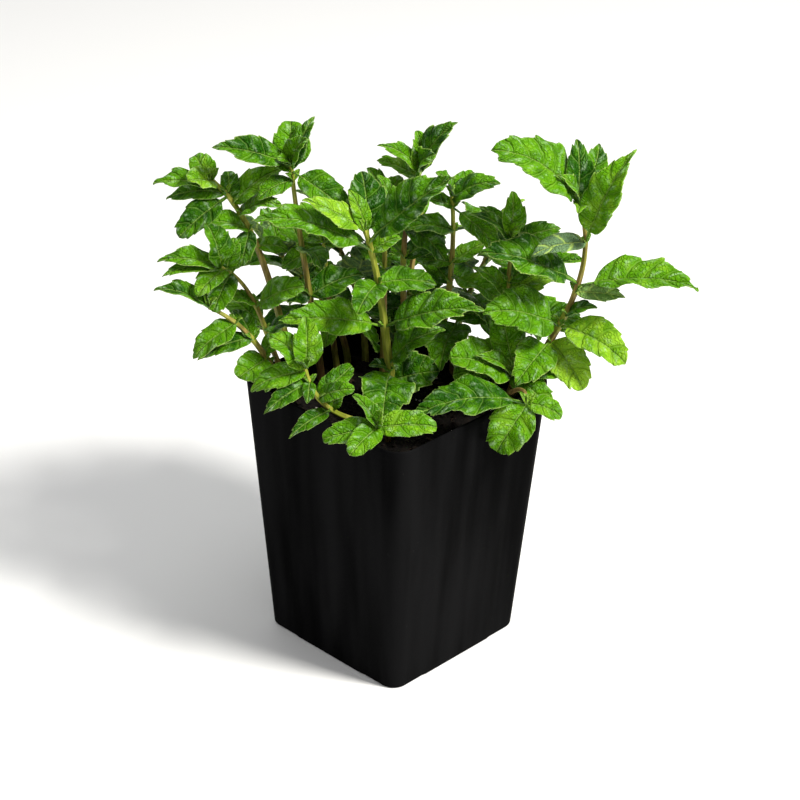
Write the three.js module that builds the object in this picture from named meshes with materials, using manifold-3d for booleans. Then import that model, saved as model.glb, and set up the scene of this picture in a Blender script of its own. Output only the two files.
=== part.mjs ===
// A mint plant in a square nursery pot. Millimetres, +Z up, origin at the centre of the pot's base.
//
// The pot is a thin tapered shell filled with potting mix. Each leafy stem is one solid: a square stem
// whose foot stands in a plain hole in the mix, with its opposite leaves fused to it. A leaf that would
// cross another stem is bent aside, in small steps, until it is clear.

import * as THREE from "three";
import { mergeVertices } from "three/addons/utils/BufferGeometryUtils.js";
import Module from "manifold-3d";

const wasm = await Module();
wasm.setup();

// ---- Driving dimensions ----

// Pot: a tall square nursery pot, 100 mm across its mouth.
const POT_HEIGHT = 128;
const MOUTH_WIDTH = 100;
const BASE_WIDTH = 82;
const MOUTH_CORNER = 10;
const BASE_CORNER = 7.5;
const POT_WALL = 1.3;
const POT_FLOOR = 1.8;
const CORNER_STEPS = 4;
const PANEL_WIDTH = 0.5; // share of a side that stands proud between its two upright lines
const PANEL_PROUD = 0.5;
const PANEL_EDGE = 1.5; // width of the slope on each side of the panel
const PANEL_FADES = 0.81; // share of the height from which the panel dies away
const PANEL_TOP = 0.9; // share of the height at which it has died away
const PANEL_LEFT = 0.02; // what is left of it above, so that all the outlines have equally many points
const DRAIN_RADIUS = 5;
const DRAIN_PLACE = 24; // from the centre to each drain hole, along X and along Y
const DRAIN_SIDES = 8;

// Potting mix.
const SOIL_TOP = 114;
const SOIL_RELIEF = 0.9;
const SOIL_CELLS = 9;
const SOIL_LAYERS = 1;
const ABOVE = 2; // by which what is cut away reaches past the surface that it opens

// Clearances between neighbouring solids.
const GAP = 0.3;
const HOLE_GAP = 0.6;
const LEAF_GAP = 0.4; // between a leaf and what isn't its own stem
const OWN_LEAF_GAP = 0.1; // between the blades of one stem's leaves

// Stems.
const FOOT_BOTTOM = 96;
const FOOT_TOP = 117; // above this height a stem leaves the vertical
const STEM_STEPS = 7;
const TIP_SHARE = 0.5; // thickness of a stem at its tip, as a share of its foot's

// Leaves.
const BLADE_THICKNESS = 0.75;
const STALK_WIDTH = 1.4;
const STALK_SHARE = 0.14; // of the length of a leaf that has a stalk
const STALKED_FROM = 28; // shorter leaves sit on the stem
const LEAF_ARCH = 0.085; // rise of the midrib above its chord, as a share of the length
const ARCH_SPREAD = 0.4; // share by which a leaf may arch more or less
const LEAF_SWAY = 0.03; // sideways bow of the midrib, at most, as a share of the length
const LEAF_FOLD = 0.3; // rise of each half towards its edge, as a share of its width
const FOLD_SPREAD = 0.5;
const TOOTH_DEPTH = 0.13; // of the half width, outward at a tooth and inward at a notch
const TOOTH_LEAN = 0.25; // how far a tooth leans forward, of the way to the next notch
const EDGE_WAVE = 0.05; // height of the waves along its edge, as a share of the leaf's width
const WAVE_TURNS = 13; // radians that the wave runs through along the leaf
const WAVE_SHIFT = 2; // radians by which the left edge's wave leads the right one's

// The light that the leaves turn their upper sides to, in the plant's frame, and how far they turn. It
// comes from the front, except for the leaves behind the middle of the pot, which turn to the back.
const FRONT_LIGHT = new THREE.Vector3(0.15, -0.75, 0.65);
const BACK_LIGHT = new THREE.Vector3(0, 0.6, 0.8);
const FRONT_UNTIL = 25;
const BACK_FROM = 50;
const TURN_TO_LIGHT = 0.55;
const ROLL_SPREAD = 14; // degrees by which a leaf may roll either way from there

// Teeth on each side of a leaf, from its length upwards: the large leaves carry more.
const TEETH_BY_LENGTH = [[35, 3], [16, 2], [0, 1]];

// The plant stands in a frame turned by 45 degrees: +X to its right, -Y to the pot's front corner.
const PLANT_TURN = Math.PI / 4;

// ---- The leafy stems ----
//
// A stem: its name, its thickness, four points that it passes through at even steps (the first gives
// only X and Y, at FOOT_TOP), and its leaves.
// A leaf: the step along the stem as a share, the heading in degrees from +X, the rise in degrees, the
// length and the width.
const STEMS = [
  ["stem_centre", 3.1, [[-2, 7], [-5, 4, 145], [-9, 0, 175], [-15, -4, 202]], [
    [0.91, -20, 45, 52, 20], [0.93, 100, 55, 30, 18], [0.98, 200, 35, 34, 13], [0.99, 155, 60, 19, 9],
    [0.86, 195, 25, 55, 20], [0.85, 15, 25, 14, 8],
    [0.66, -110, -5, 26, 14], [0.66, 10, -5, 26, 14],
    [0.41, -20, 25, 50, 20], [0.41, 200, 13, 50, 17],
    [0.18, -25, 45, 34, 15], [0.15, 215, 30, 12, 7],
    [0.14, -95, -5, 33, 25], [0.08, -15, 22, 23, 21],
  ]],
  ["stem_right_tall", 2.5, [[52, 6], [70, 8, 148], [80, 7, 180], [76, 4, 213]], [
    [0.97, 200, 42, 50, 25], [1, 100, 65, 26, 13], [1, 215, 50, 22, 8], [0.98, 60, 50, 29, 12],
    [0.96, -100, 20, 12, 7],
    [0.79, -30, 69, 50, 18], [0.79, 200, -3, 25, 12],
    [0.57, -15, 9, 53, 21], [0.58, 195, 26, 49, 23], [0.54, -20, 8, 22, 9],
    [0.42, -30, 30, 16, 8], [0.36, -40, -8, 36, 19], [0.36, 208, 25, 40, 25],
    [0.28, -55, -28, 27, 19], [0.28, -130, -22, 30, 19],
  ]],
  ["stem_right_low", 2.2, [[48, -2], [50, -1, 123], [51, -1, 129], [51, -2, 135]], [
    [1, 110, 62, 28, 17], [0.75, 203, 28, 34, 24], [0.85, 212, 30, 24, 9], [0.95, 5, 32, 28, 17],
    [0.75, -35, 0, 26, 14],
  ]],
  ["stem_right_trailing", 2, [[44, -8], [49, -15, 129], [54, -21, 134], [56, -27, 130]], [
    [0.98, -150, -52, 25, 20], [0.98, -15, -15, 16, 11], [0.98, 198, 3, 53, 22],
  ]],
  ["stem_front", 2, [[-4, -32], [-5, -38, 122], [-7, -45, 127], [-9, -50, 131]], [
    [0.92, 190, -8, 24, 12], [0.96, -125, -10, 20, 12], [0.96, 170, 55, 18, 9], [0.94, -5, 5, 25, 13],
    [1, -60, 70, 11, 6],
  ]],
  ["stem_front_left", 2.2, [[-15, -20], [-27, -28, 126], [-35, -33, 137], [-40, -34, 151]], [
    [0.96, 190, -15, 25, 11], [0.99, 170, 45, 20, 14], [0.99, 90, 67, 22, 13], [1, -135, 45, 11, 6],
    [0.84, -150, -22, 24, 9], [0.84, -100, -25, 12, 6],
    [0.62, -25, 28, 18, 9], [0.62, 30, 35, 20, 10],
    [0.38, -128, -20, 28, 8], [0.38, 35, 70, 14, 8],
  ]],
  ["stem_left_tall", 2.8, [[-43, 16], [-53, 18, 152], [-64, 20, 187], [-82, 20, 214]], [
    [0.98, -130, 20, 16, 13], [1, 140, 45, 13, 12], [0.94, 190, 8, 29, 12], [0.9, 182, -5, 26, 10],
    [0.88, -150, -30, 28, 14], [0.7, 200, 20, 22, 11],
    [0.86, 100, 55, 13, 9], [0.84, 15, 35, 26, 13], [0.78, -30, 35, 22, 12],
    [0.7, -105, -45, 17, 10], [0.62, 25, -15, 16, 9],
  ]],
  ["stem_top_left", 2.5, [[-34, 24], [-38, 23, 150], [-43, 21, 186], [-47, 20, 221]], [
    [1, 195, 20, 36, 14], [0.99, 100, 60, 20, 17], [0.98, 35, 65, 25, 10], [1, -55, 55, 20, 11],
    [1, -110, 50, 11, 7], [0.97, 155, 25, 15, 9],
    [0.97, -30, -24, 32, 16], [0.93, -150, -15, 18, 10],
    [0.6, 110, 15, 30, 15], [0.6, -70, 10, 26, 13], [0.4, 20, 10, 26, 14], [0.4, 200, 5, 26, 13],
  ]],
  ["stem_top_middle", 2.4, [[8, 34], [3, 31, 150], [3, 29, 185], [9, 28, 215]], [
    [1, 205, 42, 25, 10], [0.97, 185, 25, 20, 10], [1, 110, 65, 18, 12], [0.97, -25, 60, 33, 15],
    [0.96, 145, 30, 15, 10], [1, -60, 45, 20, 13],
    [0.72, -35, -30, 24, 16], [0.72, 205, 0, 18, 12], [0.55, 25, 20, 22, 11], [0.55, 115, 10, 30, 15],
  ]],
  ["stem_middle_back", 2.3, [[-6, 26], [-6, 25, 145], [-6, 24, 174], [-6, 22, 203]], [
    [1, 150, 60, 17, 10], [1, -110, 65, 17, 8], [0.98, 50, 40, 16, 10], [0.9, 190, 30, 22, 10],
    [0.9, -10, 0, 18, 10], [0.62, 100, 5, 30, 15], [0.62, -80, 5, 24, 12],
  ]],
  ["stem_middle_right", 2.4, [[18, 34], [22, 32, 145], [24, 29, 175], [23, 26, 205]], [
    [0.98, -25, 32, 24, 13], [1, -130, 55, 17, 9], [0.98, 45, 35, 16, 10], [0.94, 195, 25, 13, 8],
    [0.8, 200, 15, 22, 13], [0.93, -32, -32, 30, 13], [0.62, 175, 0, 13, 8], [0.62, 25, 25, 18, 9],
    [0.54, -40, -5, 30, 17], [0.5, 130, 20, 26, 13],
  ]],
  ["stem_right_middle", 2.2, [[43, 8], [46, 11, 140], [48, 13, 165], [49, 14, 191]], [
    [1, 90, 78, 20, 11], [0.99, 155, 38, 20, 8], [0.96, 200, 45, 24, 10], [0.96, 0, 30, 24, 11],
    [1, -65, 50, 12, 7], [0.64, 210, 48, 24, 10], [0.66, -5, 12, 22, 11], [0.5, 80, 10, 30, 15],
    [0.72, 35, 25, 20, 10],
  ]],
  ["stem_left_middle", 2.1, [[-47, 11], [-56, 9, 140], [-64, 6, 164], [-78, 4, 180]], [
    [1, 195, 15, 27, 11], [0.98, 203, 3, 27, 9], [0.98, 165, 67, 21, 15], [0.95, -125, -13, 20, 12],
    [0.94, 70, 50, 15, 9], [0.9, -120, -40, 19, 12],
    [0.6, -30, 35, 28, 15], [0.62, 210, 33, 15, 9], [0.42, -50, 33, 32, 14], [0.42, 130, 15, 30, 14],
  ]],
  ["stem_left_low", 2.5, [[-50, 4], [-57, 0, 136], [-67, -4, 153], [-82, -6, 165]], [
    [1, 185, 25, 25, 11], [1, 60, 60, 10, 7], [0.76, -150, -27, 24, 13], [0.58, -145, 0, 26, 11],
    [0.56, 140, 43, 16, 10], [0.4, 55, 43, 14, 8], [0.36, -130, -7, 18, 15], [0.3, -95, -12, 16, 10],
  ]],
  ["stem_back_left", 2.2, [[-27, 32], [-29, 32, 135], [-31, 31, 157], [-33, 30, 180]], [
    [0.97, 200, -30, 22, 12], [0.76, 215, 20, 20, 10], [1, 145, 5, 20, 11], [0.98, 25, 0, 20, 11],
    [1, 90, 60, 16, 9], [0.5, 110, 10, 30, 15], [0.5, -125, -45, 24, 13],
  ]],
  ["stem_far_left", 2.3, [[-22, 36], [-29, 38, 140], [-44, 48, 156], [-62, 58, 169]], pairs(5, 20, 38)],
  ["stem_far_back", 2.3, [[-14, 42], [-17, 50, 140], [-24, 62, 157], [-34, 74, 170]], pairs(5, 150, 38)],
  ["stem_back", 2.4, [[4, 48], [6, 58, 140], [8, 66, 160], [12, 74, 178]], pairs(5, 10, 40)],
  ["stem_back_low", 2, [[-2, 50], [-4, 61, 132], [-4, 71, 140], [-4, 81, 146]], pairs(4, 50, 33)],
  ["stem_far_right", 2.3, [[26, 32], [29, 38, 140], [38, 52, 157], [47, 64, 170]], pairs(5, 35, 38)],
  ["stem_right_back", 2.3, [[38, 18], [43, 21, 138], [54, 32, 152], [66, 42, 162]], pairs(5, 80, 37)],
];

// Opposite pairs for a stem whose leaves follow the plain rule: each pair stands at right angles to the
// one below it, and the pairs grow shorter and steeper towards the tip.
function pairs(count, heading, longest) {
  const lowestStep = 0.3;
  const lowestRise = -5;
  const highestRise = 45;
  const topLength = 0.5;
  const slimness = 0.55;
  const rows = [];
  for (let k = 0; k < count; k += 1) {
    const share = k / (count - 1);
    const step = lowestStep + (1 - lowestStep) * share;
    const rise = lowestRise + (highestRise - lowestRise) * share;
    const length = Math.round(longest * (1 - (1 - topLength) * share * share));
    for (const side of [0, 180]) {
      rows.push([step, heading + 90 * k + side, rise, length, Math.round(length * slimness)]);
    }
  }
  return rows;
}

// ---- Numbers and solids ----

// A repeatable draw between -1 and 1.
function draw(seed, salt) {
  const wave = Math.sin(seed * 12.9898 + salt * 78.233) * 43758.5453;
  return 2 * (wave - Math.floor(wave)) - 1;
}

function degrees(angle) {
  return (angle * Math.PI) / 180;
}

// A closed triangle mesh as a solid that can be joined and cut.
function solidOf(geometry) {
  const bare = geometry.clone();
  bare.deleteAttribute("normal");
  bare.deleteAttribute("uv");
  const merged = mergeVertices(bare, 1e-4);
  return new wasm.Manifold(new wasm.Mesh({
    numProp: 3,
    vertProperties: new Float32Array(merged.attributes.position.array),
    triVerts: new Uint32Array(merged.index.array),
  }));
}

function geometryOf(points, triangles) {
  const geometry = new THREE.BufferGeometry().setFromPoints(points);
  geometry.setIndex(triangles);
  return geometry;
}

// The solid's largest closed body: hollows that the joining sealed are filled, and scraps dropped.
function mainBody(solid) {
  let largest = null;
  for (const body of solid.decompose()) {
    if (!largest || body.volume() > largest.volume()) {
      largest = body;
    }
  }
  return largest;
}

function meshOf(solid, name, material) {
  const made = solid.getMesh();
  const geometry = new THREE.BufferGeometry();
  const positions = new Float32Array(made.numVert * 3);
  for (let k = 0; k < made.numVert; k += 1) {
    positions.set(made.vertProperties.subarray(k * made.numProp, k * made.numProp + 3), k * 3);
  }
  geometry.setAttribute("position", new THREE.BufferAttribute(positions, 3));
  geometry.setIndex(new THREE.BufferAttribute(new Uint32Array(made.triVerts), 1));
  geometry.computeVertexNormals();
  const mesh = new THREE.Mesh(geometry, material);
  mesh.name = name;
  return mesh;
}

// A closed solid through rings of equally many points, each ring counter-clockwise seen from its end.
function loft(rings) {
  const points = rings.flat();
  const count = rings[0].length;
  const triangles = [];
  for (let ring = 0; ring + 1 < rings.length; ring += 1) {
    for (let k = 0; k < count; k += 1) {
      const low = ring * count + k;
      const lowNext = ring * count + ((k + 1) % count);
      triangles.push(low, lowNext, lowNext + count, low, lowNext + count, low + count);
    }
  }
  const last = (rings.length - 1) * count;
  for (let k = 1; k + 1 < count; k += 1) {
    triangles.push(0, k + 1, k, last, last + k, last + k + 1);
  }
  return solidOf(geometryOf(points, triangles));
}

// ---- Pot ----

// Half width and corner radius of the pot's outside at a height.
function potHalf(height) {
  return THREE.MathUtils.lerp(BASE_WIDTH, MOUTH_WIDTH, height / POT_HEIGHT) / 2;
}

function potCorner(height) {
  return THREE.MathUtils.lerp(BASE_CORNER, MOUTH_CORNER, height / POT_HEIGHT);
}

// One level outline of the pot: a rounded square, set in from the outside, with a raised middle panel.
function potRing(height, inset, proud) {
  const half = potHalf(height) - inset;
  const corner = potCorner(height) - inset;
  const panel = potHalf(height) * PANEL_WIDTH;
  const ring = [];
  for (let side = 0; side < 4; side += 1) {
    const turn = (side * Math.PI) / 2;
    const local = [];
    if (proud > 0) {
      local.push([half, -panel - PANEL_EDGE], [half + proud, -panel]);
      local.push([half + proud, panel], [half, panel + PANEL_EDGE]);
    }
    for (let k = 0; k <= CORNER_STEPS; k += 1) {
      const angle = ((Math.PI / 2) * k) / CORNER_STEPS;
      const centre = half - corner;
      local.push([centre + corner * Math.cos(angle), centre + corner * Math.sin(angle)]);
    }
    for (const [x, y] of local) {
      const spun = new THREE.Vector2(x, y).rotateAround(new THREE.Vector2(), turn);
      ring.push(new THREE.Vector3(spun.x, spun.y, height));
    }
  }
  return ring;
}

function potSolid() {
  const outside = loft([
    potRing(0, 0, PANEL_PROUD),
    potRing(POT_HEIGHT * PANEL_FADES, 0, PANEL_PROUD),
    potRing(POT_HEIGHT * PANEL_TOP, 0, PANEL_LEFT),
    potRing(POT_HEIGHT, 0, PANEL_LEFT),
  ]);
  const inside = loft([potRing(POT_FLOOR, POT_WALL, 0), potRing(POT_HEIGHT + ABOVE, POT_WALL, 0)]);
  let pot = outside.subtract(inside);
  for (const x of [-DRAIN_PLACE, DRAIN_PLACE]) {
    for (const y of [-DRAIN_PLACE, DRAIN_PLACE]) {
      const drain = new THREE.CylinderGeometry(DRAIN_RADIUS, DRAIN_RADIUS, 3 * POT_FLOOR, DRAIN_SIDES);
      drain.rotateX(Math.PI / 2);
      drain.translate(x, y, 0);
      pot = pot.subtract(solidOf(drain));
    }
  }
  return pot;
}

// ---- Potting mix ----

function soilHeight(x, y) {
  const broad = Math.sin(x * 0.11 + 1.3) * Math.cos(y * 0.13 - 0.4);
  const fine = Math.sin(x * 0.43 - y * 0.31) * Math.sin(y * 0.47 + x * 0.21 + 2);
  return SOIL_TOP + SOIL_RELIEF * (0.6 * broad + 0.4 * fine);
}

// A block with an uneven top, wider than the pot, which is then cut to the pot's inside.
function soilSolid(feet) {
  const reach = MOUTH_WIDTH / 2;
  const slab = new THREE.BoxGeometry(
    2 * reach, 2 * reach, SOIL_TOP, SOIL_CELLS, SOIL_CELLS, SOIL_LAYERS);
  slab.translate(0, 0, SOIL_TOP / 2);
  const place = slab.attributes.position;
  for (let k = 0; k < place.count; k += 1) {
    if (place.getZ(k) > SOIL_TOP - 1) {
      place.setZ(k, soilHeight(place.getX(k), place.getY(k)));
    }
  }
  const inset = POT_WALL + GAP;
  const room = loft([potRing(POT_FLOOR + GAP, inset, 0), potRing(POT_HEIGHT, inset, 0)]);
  let soil = solidOf(slab).intersect(room);
  for (const foot of feet) {
    soil = soil.subtract(foot);
  }
  return soil;
}

// ---- Stems ----

// The visible part of a stem: a cubic curve that passes through four points at even steps.
function stemCurve(route) {
  const [a, b, c, d] = route.map(([x, y, z = FOOT_TOP]) => new THREE.Vector3(x, y, z));
  const first = new THREE.Vector3();
  first.addScaledVector(a, -5 / 6).addScaledVector(b, 3).addScaledVector(c, -1.5).addScaledVector(d, 1 / 3);
  const second = new THREE.Vector3();
  second.addScaledVector(a, 1 / 3).addScaledVector(b, -1.5).addScaledVector(c, 3).addScaledVector(d, -5 / 6);
  return new THREE.CubicBezierCurve3(a, first, second, d);
}

// A square of a stem's section across a direction, its corners turned to face along X and Y.
function stemRing(centre, along, thickness) {
  const across = new THREE.Vector3(0, 1, 0).cross(along).normalize();
  const upward = along.clone().cross(across);
  const reach = thickness * Math.SQRT1_2;
  const corners = [[1, 0], [0, 1], [-1, 0], [0, -1]];
  return corners.map(([x, y]) => centre.clone()
    .addScaledVector(across, x * reach)
    .addScaledVector(upward, y * reach));
}

function stemSolid(curve, thickness) {
  const foot = curve.getPoint(0);
  const upright = new THREE.Vector3(0, 0, 1);
  const rings = [stemRing(new THREE.Vector3(foot.x, foot.y, FOOT_BOTTOM), upright, thickness)];
  for (let k = 0; k <= STEM_STEPS; k += 1) {
    const share = k / STEM_STEPS;
    const along = curve.getTangent(share);
    if (k === 0) {
      along.add(upright).normalize();
    }
    const size = thickness * THREE.MathUtils.lerp(1, TIP_SHARE, share);
    rings.push(stemRing(curve.getPoint(share), along, size));
  }
  return loft(rings);
}

// The hole that a stem's foot stands in.
function footHole([x, y], thickness) {
  const sides = 6;
  const radius = thickness * Math.SQRT1_2 + HOLE_GAP;
  const bottom = FOOT_BOTTOM - GAP;
  const height = SOIL_TOP + SOIL_RELIEF + ABOVE - bottom;
  const hole = new THREE.CylinderGeometry(radius, radius, height, sides);
  hole.rotateX(Math.PI / 2);
  hole.translate(x, y, bottom + height / 2);
  return solidOf(hole);
}

// ---- Leaves ----

// Half width of a leaf's blade, from 0 at its foot through 1 at its widest place to 0 at its tip.
function bladeOutline(share) {
  return Math.sin(Math.PI * share ** 0.75) ** 0.65;
}

// A leaf's own frame: its foot, its chord, its upper side and its left, with its draws.
function leafFrame(foot, heading, rise, length, width, seed) {
  const turn = degrees(heading);
  const lift = degrees(rise);
  const level = new THREE.Vector3(Math.cos(turn), Math.sin(turn), 0);
  const chord = level.clone().multiplyScalar(Math.cos(lift));
  chord.z = Math.sin(lift);
  const upper = level.clone().multiplyScalar(-Math.sin(lift));
  upper.z = Math.cos(lift);
  const behind = THREE.MathUtils.smoothstep(foot.y, FRONT_UNTIL, BACK_FROM);
  const light = FRONT_LIGHT.clone().lerp(BACK_LIGHT, behind);
  const lit = light.addScaledVector(chord, -light.dot(chord)).normalize();
  upper.lerp(lit, TURN_TO_LIGHT).normalize();
  upper.applyAxisAngle(chord, degrees(ROLL_SPREAD) * draw(seed, 1));
  const left = upper.clone().cross(chord);
  return { foot, chord, upper, left, length, width, seed };
}

// A point of the leaf's middle surface: its share of the length, and its place across, from -1 to 1.
function leafPoint(leaf, share, across, reach) {
  const arch = LEAF_ARCH * (1 + ARCH_SPREAD * draw(leaf.seed, 2)) * leaf.length;
  const sway = LEAF_SWAY * draw(leaf.seed, 3) * leaf.length;
  const bow = 4 * share * (1 - share);
  const fold = LEAF_FOLD * (1 + FOLD_SPREAD * draw(leaf.seed, 4)) * Math.abs(across) * reach;
  const phase = Math.PI * draw(leaf.seed, 5) + (across > 0 ? WAVE_SHIFT : 0);
  const height = EDGE_WAVE * leaf.width * Math.abs(across) * Math.min(1, bow * 2);
  const wave = height * Math.sin(share * WAVE_TURNS + phase);
  return leaf.foot.clone()
    .addScaledVector(leaf.chord, share * leaf.length)
    .addScaledVector(leaf.left, across * reach + sway * bow)
    .addScaledVector(leaf.upper, arch * bow + fold + wave);
}

// The outline of half a leaf, from its foot to just before its tip, as shares of the length and reaches
// across: the foot, the stalk's end on a long leaf, then teeth that lean forward, with notches between.
function halfOutline(leaf, teeth, start) {
  const stalk = leaf.length >= STALKED_FROM && start < STALK_SHARE;
  const outline = [[start, STALK_WIDTH / 2]];
  if (stalk) {
    outline.push([STALK_SHARE, STALK_WIDTH / 2]);
  }
  const from = outline[outline.length - 1][0];
  const points = 2 * teeth - 1;
  for (let k = 0; k < points; k += 1) {
    const tooth = k % 2 === 0;
    const along = (k + 1 + (tooth ? TOOTH_LEAN : 0)) / (points + 1);
    const cut = tooth ? 1 + TOOTH_DEPTH : 1 - TOOTH_DEPTH;
    outline.push([from + (1 - from) * along, (leaf.width / 2) * bladeOutline(along) * cut]);
  }
  return outline;
}

// Triangles between two chains of points that run side by side and end in one shared tip.
function zip(outer, inner, shareOf) {
  const triangles = [];
  let a = 0;
  let b = 0;
  while (a + 1 < outer.length || b + 1 < inner.length) {
    const outerDone = a + 1 >= outer.length;
    const innerDone = b + 1 >= inner.length;
    if (innerDone || (!outerDone && shareOf(outer[a + 1]) <= shareOf(inner[b + 1]))) {
      if (outer[a + 1] !== inner[b]) {
        triangles.push([outer[a], outer[a + 1], inner[b]]);
      }
      a += 1;
    } else {
      if (inner[b + 1] !== outer[a]) {
        triangles.push([outer[a], inner[b + 1], inner[b]]);
      }
      b += 1;
    }
  }
  return triangles;
}

// The leaf as one closed blade. Both faces are split alike and lie one thickness apart. A start above 0
// leaves out the foot, and a margin thickens and widens the blade: both serve only the search for room.
function leafSolid(leaf, start = 0, margin = 0) {
  const teeth = TEETH_BY_LENGTH.find(([from]) => leaf.length >= from)[1];
  const half = halfOutline(leaf, teeth, start);
  const bladeFrom = half[half.length - 2 * teeth][0];
  const shares = [];
  const middle = [];
  const addPoint = (share, side, reach) => {
    shares.push(share);
    middle.push(leafPoint(leaf, share, side, reach));
    return middle.length - 1;
  };
  const right = half.map(([share, reach]) => addPoint(share, -1, reach + margin));
  const tip = addPoint(1, 0, 0);
  const left = half.map(([share, reach]) => addPoint(share, 1, reach + margin));
  const rib = [];
  for (let k = 1; k < Math.max(teeth, 2); k += 1) {
    rib.push(addPoint(bladeFrom + (1 - bladeFrom) * (k / Math.max(teeth, 2)), 0, 0));
  }
  const shareOf = (index) => shares[index];
  const first = half.length - 2 * teeth;
  const upperFace = [[right[first], rib[0], left[first]]];
  if (first > 0) {
    upperFace.push([right[0], right[1], left[1]], [right[0], left[1], left[0]]);
  }
  upperFace.push(...zip([...right.slice(first), tip], [...rib, tip], shareOf));
  upperFace.push(...zip([...left.slice(first), tip], [...rib, tip], shareOf).map(([a, b, c]) => [a, c, b]));
  const rim = [...right, tip, ...left.reverse()];
  const count = middle.length;
  const offset = BLADE_THICKNESS / 2 + margin;
  const points = [
    ...middle.map((point) => point.clone().addScaledVector(leaf.upper, offset)),
    ...middle.map((point) => point.clone().addScaledVector(leaf.upper, -offset)),
  ];
  const triangles = upperFace.flatMap(([a, b, c]) => [a, b, c, a + count, c + count, b + count]);
  rim.forEach((from, k) => {
    const to = rim[(k + 1) % rim.length];
    triangles.push(from, to + count, to, from, from + count, to + count);
  });
  return solidOf(geometryOf(points, triangles));
}

// ---- Room for the leaves ----

// Ways to bend a leaf aside, from none to the largest: turn and lift in degrees, and its length's share.
function bends() {
  const list = [];
  for (const size of [1, 0.85, 0.7, 0.55]) {
    list.push([0, 0, size]);
    for (const step of [7, 14, 21, 30, 40]) {
      for (const [turn, lift] of [[0, 1], [1, 0], [-1, 0], [1, 1], [-1, 1], [0, -1], [1, -1], [-1, -1]]) {
        list.push([turn * step, lift * step, size]);
      }
    }
  }
  return list;
}

function boxesMeet(one, other) {
  return [0, 1, 2].every((axis) => one.min[axis] <= other.max[axis] && other.min[axis] <= one.max[axis]);
}

// Whether a solid touches any of a list of solids, each kept with its box.
function touches(solid, others) {
  const box = solid.boundingBox();
  return others.some((other) => boxesMeet(box, other.box) && !solid.intersect(other.solid).isEmpty());
}

function withBox(solid) {
  return { solid, box: solid.boundingBox() };
}

// The stems with their leaves, as named solids. Each leaf takes the first bend that keeps it clear of
// the pot, the mix and the other stems and their leaves, and its blade, where it can, of its own stem's.
// A leaf that finds no room at all is left out.
function plantSolids(holders) {
  const bladeStart = 0.3;
  const ways = bends();
  const stems = STEMS.map(([name, thickness, route, rows]) => {
    const curve = stemCurve(route);
    return { name, curve, rows, stem: withBox(stemSolid(curve, thickness)), leaves: [] };
  });
  let seed = 0;
  for (const own of stems) {
    const strangers = [...holders.map(withBox)];
    for (const other of stems) {
      if (other !== own) {
        strangers.push(other.stem, ...other.leaves);
      }
    }
    for (const [share, heading, rise, length, width] of own.rows) {
      seed += 1;
      const foot = own.curve.getPoint(share);
      let second = null;
      let chosen = null;
      for (const [turn, lift, size] of ways) {
        const leaf = leafFrame(foot, heading + turn, rise + lift, length * size, width * size, seed);
        if (touches(leafSolid(leaf, 0, LEAF_GAP), strangers)) {
          continue;
        }
        second = second ?? leaf;
        if (!touches(leafSolid(leaf, bladeStart, OWN_LEAF_GAP), [own.stem, ...own.leaves])) {
          chosen = leaf;
          break;
        }
      }
      const kept = chosen ?? second;
      if (kept) {
        own.leaves.push(withBox(leafSolid(kept)));
      }
    }
  }
  return stems.map(({ name, stem, leaves }) => {
    let joined = stem.solid;
    for (const leaf of leaves) {
      joined = joined.add(leaf.solid);
    }
    return [name, mainBody(joined)];
  });
}

// ---- Assembly ----

const potMaterial = new THREE.MeshStandardMaterial({ color: 0x151515, roughness: 0.45, metalness: 0 });
const soilMaterial = new THREE.MeshStandardMaterial({ color: 0x1a120c, roughness: 1, metalness: 0 });

function leafMaterial() {
  return new THREE.MeshStandardMaterial({ color: 0x3f8a1c, roughness: 0.5, metalness: 0 });
}

const turned = new THREE.Matrix4().makeRotationZ(PLANT_TURN);
const pot = potSolid();
const holes = STEMS.map(([, thickness, route]) => {
  const foot = new THREE.Vector3(...route[0], 0).applyMatrix4(turned);
  return footHole([foot.x, foot.y], thickness);
});
const soil = soilSolid(holes);

const plant = new THREE.Group();
plant.rotation.z = PLANT_TURN;
const back = (-PLANT_TURN * 180) / Math.PI;
const holders = [pot.rotate([0, 0, back]), soil.rotate([0, 0, back])];
for (const [name, solid] of plantSolids(holders)) {
  plant.add(meshOf(solid, name, leafMaterial()));
}

const part = new THREE.Group();
part.add(meshOf(pot, "pot", potMaterial));
part.add(meshOf(soil, "soil", soilMaterial));
part.add(plant);

export default part;
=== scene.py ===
"""A mint plant in a square nursery pot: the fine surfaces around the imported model.

Metres, +Z up, origin at the centre of the pot's base. The plant's own numbers are in millimetres, in
a frame turned by 45 degrees: +X to its right and -Y to the pot's front corner. Each leafy stem is
two pieces, its stalk and its leaves, which replace the solid of the same name.
"""
import math
from types import SimpleNamespace

import bpy
import numpy as np
from mathutils import Matrix, Vector
from mathutils.kdtree import KDTree


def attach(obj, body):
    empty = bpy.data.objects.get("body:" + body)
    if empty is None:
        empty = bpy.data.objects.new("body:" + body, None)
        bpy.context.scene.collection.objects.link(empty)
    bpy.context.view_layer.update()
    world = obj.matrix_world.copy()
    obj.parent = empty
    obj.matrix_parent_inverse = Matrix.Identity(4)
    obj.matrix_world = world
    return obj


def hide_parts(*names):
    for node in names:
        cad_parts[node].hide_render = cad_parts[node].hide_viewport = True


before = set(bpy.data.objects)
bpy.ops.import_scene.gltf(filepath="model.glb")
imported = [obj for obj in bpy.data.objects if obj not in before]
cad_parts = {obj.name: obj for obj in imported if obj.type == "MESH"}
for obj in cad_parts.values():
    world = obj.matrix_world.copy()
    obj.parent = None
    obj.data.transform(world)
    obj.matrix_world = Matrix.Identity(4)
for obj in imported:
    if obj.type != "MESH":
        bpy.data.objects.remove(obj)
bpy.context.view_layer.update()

MM = 0.001
ROOT = "root"

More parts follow.
